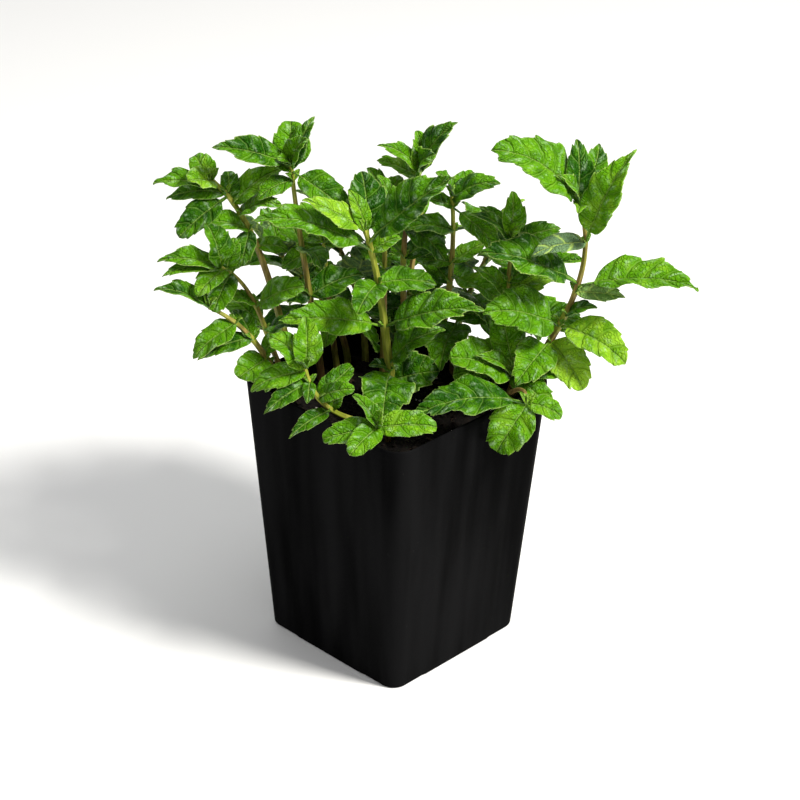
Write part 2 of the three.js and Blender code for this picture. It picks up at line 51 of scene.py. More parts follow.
# ---- The camera, from the photograph's viewing angle ----

CAMERA_AZIMUTH = math.radians(43.812)
CAMERA_ELEVATION = math.radians(28.486)
CAMERA_ROLL = math.radians(1.118)
CAMERA_DISTANCE = 1.1
CAMERA_AIM_RIGHT = 0.001488
CAMERA_AIM_HEIGHT = 0.117124
CAMERA_LENS = 111.45
SENSOR = 36

# ---- The lights and the floor ----

WORLD_LIGHT = 0.4
LIGHTS_AIM = 0.15  # height of the point that the lights face
WARM_WHITE = (1, 0.98, 0.92)
FLOOR_REACH = 6

# ---- The pot ----

POT_HEIGHT = 128 * MM
MOUTH_WIDTH = 100 * MM
BASE_WIDTH = 82 * MM
MOUTH_CORNER = 10 * MM
BASE_CORNER = 7.5 * MM
LEAST_CORNER = 0.3 * MM  # of the inside
POT_WALL = 1.3 * MM
POT_FLOOR = 1.8 * MM
FOOT_ROUND = 1.2 * MM
PANEL_WIDTH = 0.5  # share of a side between its two upright lines
PANEL_PROUD = 0.4 * MM
PANEL_EDGE = 1.4 * MM
PANEL_FADES = (0.74, 0.93)  # shares of the height between which the panel dies away
DRAIN_RADIUS = 5 * MM
DRAIN_PLACE = 24 * MM
DRAIN_SIDES = 40
SIDE_POINTS = 30  # points of a level outline on each side, and round each corner
CORNER_POINTS = 14
FOOT_STEPS = 4
SIDE_STEPS = 40
LIP_STEPS = 6
INNER_HEIGHTS = (0.92, 0.8, 0.4)  # shares of the height at which the inside has rings

# ---- The potting mix ----

SOIL_TOP = 114
SOIL_RELIEF = 0.9
SOIL_FLOOR = 2.1 * MM
SOIL_GAP = 0.3 * MM
SOIL_CELLS = 150
SOIL_DIP = 0.8 * MM  # how far the mix falls away at the pot's wall
SOIL_DIPS_FROM = 0.93  # share of the way to the wall
PINCH_POWER = 12  # a larger one squeezes the bed's grid nearer to its corners only
CRUMBLES = ((1.1, 0.45, 0.3), (1.9, 0.3, 1.1), (3.1, 0.2, 2.0))  # radians per millimetre, depth, turn
CRUMB_SHAPE = (0.7, 1.2)  # how far the points of a crumb are pushed in or out
CRUMB_TILT = 0.5
CRUMB_RISE = 0.25  # share of its size by which its middle stands above the mix
CRUMBS_OFF_WALL = 3

# ---- The plant, in millimetres in its own frame ----

PLANT_TURN = math.pi / 4
FOOT_BOTTOM = 100
FOOT_TOP = 117
TIP_SHARE = 0.5
SOLID_BLADE = 0.75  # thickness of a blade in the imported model
SAME_CORNER = 0.03 * MM  # a corner of the model this near is the one that is looked for
BEND_SIZES = (1, 0.85, 0.7, 0.55)
BEND_STEPS = (7, 14, 21, 30, 40)
STALK_HALF = 0.62
STALK_SHARE = 0.14
STALKED_FROM = 28
LEAF_ARCH = 0.085
ARCH_SPREAD = 0.4
LEAF_SWAY = 0.03
LEAF_FOLD = 0.3
FOLD_SPREAD = 0.5
EDGE_WAVE = 0.05
WAVE_TURNS = 13
WAVE_SHIFT = 2
FRONT_LIGHT = np.array([0.15, -0.75, 0.65])
BACK_LIGHT = np.array([0, 0.6, 0.8])
FRONT_UNTIL = 25
BACK_FROM = 50
TURN_TO_LIGHT = 0.55
ROLL_SPREAD = 14

# What only the fine stalks have.
STALK_STEPS = 54
STALK_SIDES = 20
STALK_HOLLOW = 0.26
SWELLING_REACH = 1.6  # along the stem, to either side of its leaves
SWELLING_SIZE = 0.16  # of the thickness
SWELLING_MOST = 1.2

# What only the fine leaves have.
BLADE_HALF = 0.16  # half the thickness of a fine blade
BLADE_GROWS = (0.02, 0.16)  # shares of the blade between which it takes over from its stalk
LEAF_STALK = (0.42, 0.75, 0.03)  # half height of a leaf's stalk on top, below, and what its edge adds below
STALK_ROWS = (0, 0.5, 0.85)
OUTLINE_SKEW = 0.75  # below 1 the widest place is nearer the foot
FOOT_POWER = 0.63  # of the outline; a larger power is more pointed
TIP_POWERS = (0.66, 1.0)
ROUND_TIP = 0.4  # the power at the tip of a blunt leaf
TIP_SLIMS = (0.4, 0.95)  # shares of the length between which the tip's power takes over
SLIM_LEAF = (1.8, 2.8)  # length to width of the leaves with the roundest and the most pointed tips
TOOTH_REACH = 0.075  # of the half width
TOOTH_LEAN = 0.25  # forward, in steps of a tooth
TOOTH_PEAK = 0.75  # share of a tooth that rises
TOOTH_SIZES = (0.75, 0.45)  # their middle size, and how far it varies
TEETH_GROW = (0.04, 0.2)  # shares of the blade between which they grow to it
TOOTH_LENGTH = 5.2  # of the edge, from one tooth to the next
TOOTH_COUNTS = (3, 11)  # the least and the most on a side
TOOTH_BAND = 0.72  # share of the half width at which the teeth begin
ROWS_PER_TOOTH = 4
VEINS_PER_TOOTH = 0.62
LEAST_VEINS = 3
VEIN_SWEEP = 0.19  # how far forward a side vein ends, as a share of the blade's length
SWEEP_OF_REACH = 0.75  # and the most that it may be, as a share of its reach across
SWEEP_BEND = 1.4
VEIN_SHIFTS = (0.25, -0.2)  # how far the side veins of the two halves stand off each other
QUILT = 1.6  # height of the bulges between the side veins of a leaf of QUILT_WIDTH
QUILT_WIDTH = 18
CRINKLE = 0.24  # height of the small bumps across the veins
RIPPLE = 0.045  # of the width, at the edge
DROOP = 0.1
CURL = 0.06  # of the length, at the tip
CURL_FROM = 0.6
RIB_SINK = 0.5
RIB_RIDGE = 0.45
# Columns of points from the midrib to the edge, by the least width of the leaves that have them.
HALF_COLUMNS = {12: (0, 0.06, 0.17, 0.31, 0.46, 0.61, 0.75, 0.88, 1), 0: (0, 0.1, 0.3, 0.53, 0.77, 1)}

# The bud leaves.
BUD_PAIRS = ((62, 6.5), (80, 5))  # rise and length of the pairs round a stem's tip
BUD_STEP = 0.995
AXIL_RISE = 48
AXIL_LENGTH = 5
BUD_SLIMNESS = 0.5
BUD_TINT = 0.62
BUD_SWING = 40  # degrees by which a pair may stand turned from its plain place
AXIL_SWING = 20
NEAR_STEPS = 0.05  # leaves nearer to each other than this stand at one place of the stem

# A stem: its name, its thickness, the four points that it passes through (the first without a height)
# and its leaves. A leaf: step along the stem, heading and rise in degrees, length, width.


def pairs(count, heading, longest):
    """Opposite pairs for a stem whose leaves follow the plain rule."""
    lowest_step, lowest_rise, highest_rise = 0.3, -5, 45
    top_length, slimness = 0.5, 0.55
    rows = []
    for k in range(count):
        share = k / (count - 1)
        step = lowest_step + (1 - lowest_step) * share
        rise = lowest_rise + (highest_rise - lowest_rise) * share
        length = math.floor(longest * (1 - (1 - top_length) * share * share) + 0.5)
        for side in (0, 180):
            rows.append((step, heading + 90 * k + side, rise, length, math.floor(length * slimness + 0.5)))
    return rows


STEMS = [
    ("stem_centre", 3.1, [(-2, 7), (-5, 4, 145), (-9, 0, 175), (-15, -4, 202)], [
        (0.91, -20, 45, 52, 20), (0.93, 100, 55, 30, 18), (0.98, 200, 35, 34, 13), (0.99, 155, 60, 19, 9),
        (0.86, 195, 25, 55, 20), (0.85, 15, 25, 14, 8),
        (0.66, -110, -5, 26, 14), (0.66, 10, -5, 26, 14),
        (0.41, -20, 25, 50, 20), (0.41, 200, 13, 50, 17),
        (0.18, -25, 45, 34, 15), (0.15, 215, 30, 12, 7),
        (0.14, -95, -5, 33, 25), (0.08, -15, 22, 23, 21),
    ]),
    ("stem_right_tall", 2.5, [(52, 6), (70, 8, 148), (80, 7, 180), (76, 4, 213)], [
        (0.97, 200, 42, 50, 25), (1, 100, 65, 26, 13), (1, 215, 50, 22, 8), (0.98, 60, 50, 29, 12),
        (0.96, -100, 20, 12, 7),
        (0.79, -30, 69, 50, 18), (0.79, 200, -3, 25, 12),
        (0.57, -15, 9, 53, 21), (0.58, 195, 26, 49, 23), (0.54, -20, 8, 22, 9),
        (0.42, -30, 30, 16, 8), (0.36, -40, -8, 36, 19), (0.36, 208, 25, 40, 25),
        (0.28, -55, -28, 27, 19), (0.28, -130, -22, 30, 19),
    ]),
    ("stem_right_low", 2.2, [(48, -2), (50, -1, 123), (51, -1, 129), (51, -2, 135)], [
        (1, 110, 62, 28, 17), (0.75, 203, 28, 34, 24), (0.85, 212, 30, 24, 9), (0.95, 5, 32, 28, 17),
        (0.75, -35, 0, 26, 14),
    ]),
    ("stem_right_trailing", 2, [(44, -8), (49, -15, 129), (54, -21, 134), (56, -27, 130)], [
        (0.98, -150, -52, 25, 20), (0.98, -15, -15, 16, 11), (0.98, 198, 3, 53, 22),
    ]),
    ("stem_front", 2, [(-4, -32), (-5, -38, 122), (-7, -45, 127), (-9, -50, 131)], [
        (0.92, 190, -8, 24, 12), (0.96, -125, -10, 20, 12), (0.96, 170, 55, 18, 9), (0.94, -5, 5, 25, 13),
        (1, -60, 70, 11, 6),
    ]),
    ("stem_front_left", 2.2, [(-15, -20), (-27, -28, 126), (-35, -33, 137), (-40, -34, 151)], [
        (0.96, 190, -15, 25, 11), (0.99, 170, 45, 20, 14), (0.99, 90, 67, 22, 13), (1, -135, 45, 11, 6),
        (0.84, -150, -22, 24, 9), (0.84, -100, -25, 12, 6),
        (0.62, -25, 28, 18, 9), (0.62, 30, 35, 20, 10),
        (0.38, -128, -20, 28, 8), (0.38, 35, 70, 14, 8),
    ]),
    ("stem_left_tall", 2.8, [(-43, 16), (-53, 18, 152), (-64, 20, 187), (-82, 20, 214)], [
        (0.98, -130, 20, 16, 13), (1, 140, 45, 13, 12), (0.94, 190, 8, 29, 12), (0.9, 182, -5, 26, 10),
        (0.88, -150, -30, 28, 14), (0.7, 200, 20, 22, 11),
        (0.86, 100, 55, 13, 9), (0.84, 15, 35, 26, 13), (0.78, -30, 35, 22, 12),
        (0.7, -105, -45, 17, 10), (0.62, 25, -15, 16, 9),
    ]),
    ("stem_top_left", 2.5, [(-34, 24), (-38, 23, 150), (-43, 21, 186), (-47, 20, 221)], [
        (1, 195, 20, 36, 14), (0.99, 100, 60, 20, 17), (0.98, 35, 65, 25, 10), (1, -55, 55, 20, 11),
        (1, -110, 50, 11, 7), (0.97, 155, 25, 15, 9),
        (0.97, -30, -24, 32, 16), (0.93, -150, -15, 18, 10),
        (0.6, 110, 15, 30, 15), (0.6, -70, 10, 26, 13), (0.4, 20, 10, 26, 14), (0.4, 200, 5, 26, 13),
    ]),
    ("stem_top_middle", 2.4, [(8, 34), (3, 31, 150), (3, 29, 185), (9, 28, 215)], [
        (1, 205, 42, 25, 10), (0.97, 185, 25, 20, 10), (1, 110, 65, 18, 12), (0.97, -25, 60, 33, 15),
        (0.96, 145, 30, 15, 10), (1, -60, 45, 20, 13),
        (0.72, -35, -30, 24, 16), (0.72, 205, 0, 18, 12), (0.55, 25, 20, 22, 11), (0.55, 115, 10, 30, 15),
    ]),
    ("stem_middle_back", 2.3, [(-6, 26), (-6, 25, 145), (-6, 24, 174), (-6, 22, 203)], [
        (1, 150, 60, 17, 10), (1, -110, 65, 17, 8), (0.98, 50, 40, 16, 10), (0.9, 190, 30, 22, 10),
        (0.9, -10, 0, 18, 10), (0.62, 100, 5, 30, 15), (0.62, -80, 5, 24, 12),
    ]),
    ("stem_middle_right", 2.4, [(18, 34), (22, 32, 145), (24, 29, 175), (23, 26, 205)], [
        (0.98, -25, 32, 24, 13), (1, -130, 55, 17, 9), (0.98, 45, 35, 16, 10), (0.94, 195, 25, 13, 8),
        (0.8, 200, 15, 22, 13), (0.93, -32, -32, 30, 13), (0.62, 175, 0, 13, 8), (0.62, 25, 25, 18, 9),
        (0.54, -40, -5, 30, 17), (0.5, 130, 20, 26, 13),
    ]),
    ("stem_right_middle", 2.2, [(43, 8), (46, 11, 140), (48, 13, 165), (49, 14, 191)], [
        (1, 90, 78, 20, 11), (0.99, 155, 38, 20, 8), (0.96, 200, 45, 24, 10), (0.96, 0, 30, 24, 11),
        (1, -65, 50, 12, 7), (0.64, 210, 48, 24, 10), (0.66, -5, 12, 22, 11), (0.5, 80, 10, 30, 15),
        (0.72, 35, 25, 20, 10),
    ]),
    ("stem_left_middle", 2.1, [(-47, 11), (-56, 9, 140), (-64, 6, 164), (-78, 4, 180)], [
        (1, 195, 15, 27, 11), (0.98, 203, 3, 27, 9), (0.98, 165, 67, 21, 15), (0.95, -125, -13, 20, 12),
        (0.94, 70, 50, 15, 9), (0.9, -120, -40, 19, 12),
        (0.6, -30, 35, 28, 15), (0.62, 210, 33, 15, 9), (0.42, -50, 33, 32, 14), (0.42, 130, 15, 30, 14),
    ]),
    ("stem_left_low", 2.5, [(-50, 4), (-57, 0, 136), (-67, -4, 153), (-82, -6, 165)], [
        (1, 185, 25, 25, 11), (1, 60, 60, 10, 7), (0.76, -150, -27, 24, 13), (0.58, -145, 0, 26, 11),
        (0.56, 140, 43, 16, 10), (0.4, 55, 43, 14, 8), (0.36, -130, -7, 18, 15), (0.3, -95, -12, 16, 10),
    ]),
    ("stem_back_left", 2.2, [(-27, 32), (-29, 32, 135), (-31, 31, 157), (-33, 30, 180)], [
        (0.97, 200, -30, 22, 12), (0.76, 215, 20, 20, 10), (1, 145, 5, 20, 11), (0.98, 25, 0, 20, 11),
        (1, 90, 60, 16, 9), (0.5, 110, 10, 30, 15), (0.5, -125, -45, 24, 13),
    ]),
    ("stem_far_left", 2.3, [(-22, 36), (-29, 38, 140), (-44, 48, 156), (-62, 58, 169)], pairs(5, 20, 38)),
    ("stem_far_back", 2.3, [(-14, 42), (-17, 50, 140), (-24, 62, 157), (-34, 74, 170)], pairs(5, 150, 38)),
    ("stem_back", 2.4, [(4, 48), (6, 58, 140), (8, 66, 160), (12, 74, 178)], pairs(5, 10, 40)),
    ("stem_back_low", 2, [(-2, 50), (-4, 61, 132), (-4, 71, 140), (-4, 81, 146)], pairs(4, 50, 33)),
    ("stem_far_right", 2.3, [(26, 32), (29, 38, 140), (38, 52, 157), (47, 64, 170)], pairs(5, 35, 38)),
    ("stem_right_back", 2.3, [(38, 18), (43, 21, 138), (54, 32, 152), (66, 42, 162)], pairs(5, 80, 37)),
]

# Leaves that are plainly younger (1) or older (0) than the rest, by stem and place in its list. Several
# of these tints are also painted light and shade: a leaf is made paler or darker to stand for how it is
# lit.
LEAF_TINTS_AND_LIGHT = {
    "stem_centre": {
        0: 0.18, 1: 0.12, 2: 0.8, 3: 0.62, 4: 0.36, 8: 0.3, 9: 0.52, 12: 0.24, 13: 0.2,
    },
    "stem_left_tall": {0: 0.68, 1: 0.6, 7: 0.5},
    "stem_left_middle": {2: 0.25, 4: 0.3},
    "stem_left_low": {6: 0.5},
    "stem_top_left": {7: 0.3},
    "stem_right_tall": {
        0: 0.44, 1: 0.12, 5: 0.56, 6: 0.1, 7: 0.5, 9: 0.9, 11: 0.76, 13: 1, 14: 0.46,
    },
    "stem_right_middle": {5: 0.5, 6: 0.72},
    "stem_middle_right": {7: 0.5, 8: 0.5},
    "stem_right_low": {0: 0.48, 1: 0.42, 2: 0.5},
    "stem_front": {0: 0.42, 1: 0.46, 2: 0.36, 3: 0.56},
    "stem_front_left": {3: 0.25, 4: 0.2, 8: 0.16},
    "stem_right_trailing": {0: 0.52, 1: 0.5, 2: 0.14},
}
TURNED_OVER = {"stem_right_tall": (6, 9)}  # leaves whose paler under side faces up, by stem and place
BLUNT = {  # leaves with a round tip
    "stem_centre": (6, 12, 13), "stem_right_tall": (0, 11, 13), "stem_right_low": (1,),
    "stem_right_trailing": (0, 1), "stem_front": (0, 1, 3), "stem_front_left": (1, 6, 7),
    "stem_left_tall": (0, 1, 4, 6), "stem_top_left": (1,), "stem_left_middle": (3, 5, 6),
    "stem_left_low": (6,),
}
OLIVE_STEMS = {"stem_centre": 0.1, "stem_front_left": 0.3}  # how red a stem is; the others have USUAL_RED
USUAL_RED = 0.55
USUAL_TINT = 0.31
YOUNG_TINT = 0.26
YOUNG_FROM = 0.75  # share of a stem beyond which its small leaves are young
YOUNG_LENGTHS = (9, 28)  # the youngest, and those that are no longer young
TINT_SPREAD = 0.2


# ---- Numbers ----

def lerp(a, b, share):
    return a + (b - a) * share


def smoothstep(x, low, high):
    t = np.clip((x - low) / (high - low), 0, 1)
    return t * t * (3 - 2 * t)


def unit(vector):
    return vector / np.linalg.norm(vector)


def draw(seed, salt):
    """A repeatable draw between -1 and 1, the same as in the model. Each use has its own salt."""
    wave = math.sin(seed * 12.9898 + salt * 78.233) * 43758.5453
    return 2 * (wave - math.floor(wave)) - 1


def to_part(points):
    """Points of the plant's frame, in millimetres, in the part's frame, in metres."""
    cos, sin = math.cos(PLANT_TURN), math.sin(PLANT_TURN)
    turn = np.array([[cos, -sin, 0], [sin, cos, 0], [0, 0, 1]])
    return np.asarray(points) @ turn.T * MM


# ---- Meshes ----

def mesh_object(name, vertices, faces, material, smooth=True):
    mesh = bpy.data.meshes.new(name)
    mesh.from_pydata(np.asarray(vertices).tolist(), [], faces)
    mesh.materials.append(material)
    mesh.polygons.foreach_set("use_smooth", [smooth] * len(mesh.polygons))
    made = bpy.data.objects.new(name, mesh)
    bpy.context.scene.collection.objects.link(made)
    return made


def dress(made, slot, *nodes):
    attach(made, ROOT)
    if nodes:
        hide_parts(*nodes)
    return made


class Parts:
    """Vertices, faces and vertex attributes of several bodies that become one mesh."""

    def __init__(self, *attributes):
        self.vertices = []
        self.faces = []
        self.attributes = {name: [] for name in attributes}
        self.count = 0

    def add(self, vertices, faces, **attributes):
        self.vertices.append(vertices)
        for face in faces:
            self.faces.append([corner + self.count for corner in face])
        self.count += len(vertices)
        for name, values in attributes.items():
            self.attributes[name].append(values)

    def build(self, name, material, turned=True, smooth=True):
        points = np.concatenate(self.vertices)
        made = mesh_object(name, to_part(points) if turned else points, self.faces, material, smooth)
        for key, values in self.attributes.items():
            attribute = made.data.attributes.new(key, "FLOAT_VECTOR", "POINT")
            attribute.data.foreach_set("vector", np.concatenate(values).astype(np.float32).ravel())
        return made


def ring_faces(rings, count, closed=True):
    """Quads between rings of equally many points."""
    faces = []
    for ring in range(rings - 1):
        for k in range(count if closed else count - 1):
            after = (k + 1) % count
            low, high = ring * count, (ring + 1) * count
            faces.append([low + k, low + after, high + after, high + k])
    return faces


def tube_faces(rings, count):
    """Quads between closed rings of points, and one face at each end."""
    last = (rings - 1) * count
    return ring_faces(rings, count) + [list(range(count))[::-1], list(range(last, last + count))]


# ---- Stems ----

def stem_controls(route):
    """The cubic curve that passes through a stem's four points at even steps."""
    a, b, c, d = [np.array([*point, FOOT_TOP][:3], float) for point in route]
    return a, (-5 * a + 18 * b - 9 * c + 2 * d) / 6, (2 * a - 9 * b + 18 * c - 5 * d) / 6, d


def curve_point(controls, t):
    a, b, c, d = controls
    return (1 - t) ** 3 * a + 3 * (1 - t) ** 2 * t * b + 3 * (1 - t) * t * t * c + t ** 3 * d


def curve_tangent(controls, t):
    a, b, c, d = controls
    return unit((1 - t) ** 2 * (b - a) + 2 * (1 - t) * t * (c - b) + t * t * (d - c))


def stem_section():
    """A square with rounded corners and faintly hollow faces, its corners along the two axes."""
    points = []
    for k in range(STALK_SIDES):
        angle = 2 * math.pi * k / STALK_SIDES
        hollow = STALK_HOLLOW * math.sin(2 * angle) ** 2 * (1.05 - 0.25 * math.cos(4 * angle))
        reach = math.sqrt(0.5) * (1 - hollow)
        points.append((reach * math.cos(angle), reach * math.sin(angle)))
    return points


def stem_body(controls, thickness, node_steps, redness):
    """The stalk of one stem, with a faint swelling where its leaves stand."""
    section = stem_section()
    length = np.linalg.norm(controls[3] - controls[0])
    vertices, looks = [], []
    places = [(controls[0] * [1, 1, 0] + [0, 0, FOOT_BOTTOM], np.array([0, 0, 1.0]), 0)]
    for k in range(STALK_STEPS + 1):
        t = k / STALK_STEPS
        places.append((curve_point(controls, t), curve_tangent(controls, t), t))
    for centre, along, t in places:
        across = unit(np.cross([0, 1, 0], along))
        upward = np.cross(along, across)
        swelling = sum(math.exp(-(((t - step) * length / SWELLING_REACH) ** 2)) for step in node_steps)
        size = thickness * lerp(1, TIP_SHARE, t) * (1 + SWELLING_SIZE * min(swelling, SWELLING_MOST))
        for x, y in section:
            vertices.append(centre + across * x * size + upward * y * size)
            looks.append((t, redness, min(swelling, 1)))
    return np.array(vertices), tube_faces(len(places), len(section)), np.array(looks)


# ---- Leaves ----

def chord_and_upper(foot, heading, rise, seed):
    turn, lift = math.radians(heading), math.radians(rise)
    level = np.array([math.cos(turn), math.sin(turn), 0])
    chord = level * math.cos(lift) + [0, 0, math.sin(lift)]
    upper = level * -math.sin(lift) + [0, 0, math.cos(lift)]
    light = lerp(FRONT_LIGHT, BACK_LIGHT, float(smoothstep(foot[1], FRONT_UNTIL, BACK_FROM)))
    lit = unit(light - light.dot(chord) * chord)
    upper = unit(lerp(upper, lit, TURN_TO_LIGHT))
    roll = Matrix.Rotation(math.radians(ROLL_SPREAD) * draw(seed, 1), 3, Vector(chord))
    return chord, np.array(roll @ Vector(upper))


def bends():
    """The ways in which the model bends a leaf aside, from none to the largest."""
    aside = [(0, 1), (1, 0), (-1, 0), (1, 1), (-1, 1), (0, -1), (1, -1), (-1, -1)]
    for size in BEND_SIZES:
        yield 0, 0, size
        for step in BEND_STEPS:
            for turn, lift in aside:
                yield turn * step, lift * step, size


def placed_leaf(tree, controls, row, seed):
    """The leaf as the model bent it: the first bend whose tip is a corner of the model's mesh."""
    step, heading, rise, length, width = row
    foot = curve_point(controls, step)
    for turn, lift, size in bends():
        chord, upper = chord_and_upper(foot, heading + turn, rise + lift, seed)
        tip = foot + chord * length * size
        corners = to_part([tip + upper * SOLID_BLADE / 2, tip - upper * SOLID_BLADE / 2])
        if all(tree.find(corner)[2] < SAME_CORNER for corner in corners):
            return SimpleNamespace(foot=foot, chord=chord, upper=upper, length=length * size,
                                   width=width * size, seed=seed, step=step)
    return None


def blade_outline(share, slimness, blunt):
    """Half width of a blade, from 0 at its foot through 1 to 0 at its tip."""
    sharpest = ROUND_TIP if blunt else lerp(*TIP_POWERS, smoothstep(slimness, *SLIM_LEAF))
    power = lerp(FOOT_POWER, sharpest, smoothstep(share, *TIP_SLIMS))
    return np.sin(np.pi * np.clip(share, 0, 1) ** OUTLINE_SKEW) ** power


def leaf_rows(leaf, teeth):
    """Shares of the length at the midrib of each row of points, and where the blade begins."""
    start = STALK_SHARE if leaf.length >= STALKED_FROM else 0
    stalk = [start * share for share in STALK_ROWS] if start else []
    rows = ROWS_PER_TOOTH * teeth
    blade = start + (1 - start) * np.arange(rows) / rows
    return np.concatenate([stalk, blade]), start


def blade_form(leaf, blunt):
    """Where the points of a fine leaf lie along it and across it. The last row is the tip alone."""
    length, width, seed = leaf.length, leaf.width, leaf.seed
    teeth = int(np.clip(round(length / TOOTH_LENGTH), *TOOTH_COUNTS))
    veins = max(LEAST_VEINS, round(teeth * VEINS_PER_TOOTH))
    shares, start = leaf_rows(leaf, teeth)
    shares = np.append(shares, 1.0)[:, None]
    half = next(columns for least, columns in HALF_COLUMNS.items() if width >= least)
    v = np.array([-x for x in half[:0:-1]] + list(half))[None, :]
    away = np.abs(v)

    # Rows of points run along the side veins, which sweep forward from the midrib.
    b = np.clip((shares - start) / (1 - start), 0, 1)
    sweep = min(VEIN_SWEEP, SWEEP_OF_REACH * width / 2 / (length * (1 - start))) * 4 * b * (1 - b)
    phase = (b * teeth) % 1
    tooth = np.where(phase <= TOOTH_PEAK, (phase / TOOTH_PEAK) ** 0.8, (1 - phase) / (1 - TOOTH_PEAK))
    middle_size, spread = TOOTH_SIZES
    size = middle_size + spread * np.sin(np.floor(b * teeth) * 2.4 + 6 * draw(seed, 17) + np.sign(v))
    tooth = tooth * size * smoothstep(b, *TEETH_GROW) * np.minimum(1, 4 * (1 - b))
    rim = np.clip((away - TOOTH_BAND) / (1 - TOOTH_BAND), 0, 1) ** 1.5
    along = b + sweep * away ** SWEEP_BEND + TOOTH_LEAN / teeth * tooth * rim
    reach = width / 2 * blade_outline(b + sweep, length / width, blunt)
    reach = np.hypot(reach, STALK_HALF * (1 - b))
    share = np.where(shares < start, shares + 0 * away, start + (1 - start) * along)
    return SimpleNamespace(
        v=v, away=away, b=b, teeth=teeth, reach=reach, rows=len(shares) - 1, columns=v.size,
        y=v * reach * (1 + TOOTH_REACH * (tooth - 0.5) * rim),
        share=share,
        bow=4 * share * (1 - share),
        vein_phase=b * veins + np.where(v > 0, *VEIN_SHIFTS) * (1 - b),
    )


def row_by_row(values, form):
    """The values of a leaf's points in one list: its rows, then its tip."""
    return np.concatenate([values[:form.rows].reshape(-1, 3), values[form.rows, form.columns // 2][None]])


def blade_lift(leaf, form, in_blade, rib):
    """How far the points stand off the chord: the model's arch, fold and wave, then the fine leaf's own."""
    length, width, seed = leaf.length, leaf.width, leaf.seed
    v, away, b, y, share, bow = form.v, form.away, form.b, form.y, form.share, form.bow
    arch = LEAF_ARCH * (1 + ARCH_SPREAD * draw(seed, 2)) * length
    fold = LEAF_FOLD * (1 + FOLD_SPREAD * draw(seed, 4)) * np.abs(y)
    wave_phase = math.pi * draw(seed, 5) + np.where(v > 0, WAVE_SHIFT, 0)
    wave = EDGE_WAVE * width * np.sin(share * WAVE_TURNS + wave_phase) * away * np.minimum(1, bow * 2)

    size = width / QUILT_WIDTH
    between = np.abs(np.sin(np.pi * form.vein_phase)) ** 0.75
    bulge = QUILT * size ** 0.7 * (between - 0.55) * away ** 0.6 * (1 - 0.8 * away ** 4)
    crinkle = CRINKLE * size * np.sin(y * 2.1 + share * length * 0.9 + 9 * draw(seed, 11))
    crinkle = crinkle * np.sin(share * length * 1.7 - y * 0.8 + 9 * draw(seed, 12))
    turns = 2 * np.pi * b * form.teeth * 0.37
    ripple = RIPPLE * width * np.sin(turns + 4 * draw(seed, 13) + v) * away ** 3
    droop = -DROOP * form.reach * away ** 3 * (0.6 + 0.6 * draw(seed, 14))
    own = bulge + crinkle + ripple + droop - RIB_SINK * size * rib
    to_tip = np.clip((share - CURL_FROM) / (1 - CURL_FROM), 0, 1)
    curl = -CURL * length * (1 + draw(seed, 15)) * to_tip ** 2
    return arch * bow + fold + wave + in_blade * own + curl


def blade_faces(rows, columns):
    """Two grids of points, each closed at the tip by a fan, then the rim and the foot between them."""
    face_points = rows * columns + 1
    last = (rows - 1) * columns
    grid = ring_faces(rows, columns, closed=False)
    grid += [[last + k, last + k + 1, rows * columns] for k in range(columns - 1)]
    faces = [face[::-1] for face in grid]
    faces += [[corner + face_points for corner in face] for face in grid]
    left_edge = [row * columns + columns - 1 for row in range(rows)]
    right_edge = [row * columns for row in range(rows)]
    border = [*range(columns), *left_edge[1:], rows * columns, *right_edge[:0:-1]]
    for a, c in zip(border, border[1:] + border[:1]):
        faces.append([a, c, c + face_points, a + face_points])
    return faces


def leaf_body(leaf, tint, turned_over=False, blunt=False):
    """One fine leaf: a closed thin blade, quilted between its veins, with a toothed edge."""
    length, width, seed = leaf.length, leaf.width, leaf.seed
    form = blade_form(leaf, blunt)
    y, share, away = form.y, form.share, form.away
    in_blade = smoothstep(form.b, *BLADE_GROWS)
    rib = np.exp(-((y / (0.4 + 0.03 * width)) ** 2))
    lift = blade_lift(leaf, form, in_blade, rib)
    sway = LEAF_SWAY * draw(seed, 3) * length
    left = np.cross(leaf.upper, leaf.chord)

    def face_points(offset):
        """The points of one face, row by row, and its tip."""
        x = (share * length)[..., None] * leaf.chord
        side = (y + sway * form.bow)[..., None] * left
        return row_by_row(leaf.foot + x + side + (lift + offset)[..., None] * leaf.upper, form)

    stalk_top, stalk_under, stalk_edge = LEAF_STALK
    rounding = np.sqrt(np.clip(1 - away ** 2, 0, 1)) + 0 * form.b
    ridge = RIB_RIDGE * (width / QUILT_WIDTH) ** 0.5 * rib * (1 - 0.85 * share)
    top = face_points(lerp(stalk_top * rounding, BLADE_HALF, in_blade))
    under = face_points(-lerp(stalk_under * rounding + stalk_edge, BLADE_HALF + ridge, in_blade))
    attributes = {"lamina": [], "veins": [], "looks": []}
    for side in (int(turned_over), int(not turned_over)):
        for key, parts in (
            ("lamina", (share * length + 37.0 * seed, y, 0 * y + seed)),
            ("veins", (form.vein_phase, np.abs(y), away + 0 * y)),
            ("looks", (tint + 0 * y, side + 0 * y, draw(seed, 16) + 0 * y)),
        ):
            attributes[key].append(row_by_row(np.stack(parts, -1), form))
    attributes = {key: np.concatenate(parts) for key, parts in attributes.items()}
    return np.concatenate([top, under]), blade_faces(form.rows, form.columns), attributes


def leaf_tint(name, place, leaf):
    """How young a leaf looks: small leaves near a stem's tip are the palest. A leaf in the table of tints
    takes the tint listed there, which for some leaves is painted light and shade.
    """
    short, long = YOUNG_LENGTHS
    young = float(smoothstep(leaf.step, YOUNG_FROM, 1)) * float(smoothstep(-leaf.length, -long, -short))
    tint = USUAL_TINT + YOUNG_TINT * young + TINT_SPREAD * draw(leaf.seed, 21)
    return LEAF_TINTS_AND_LIGHT.get(name, {}).get(place, tint)


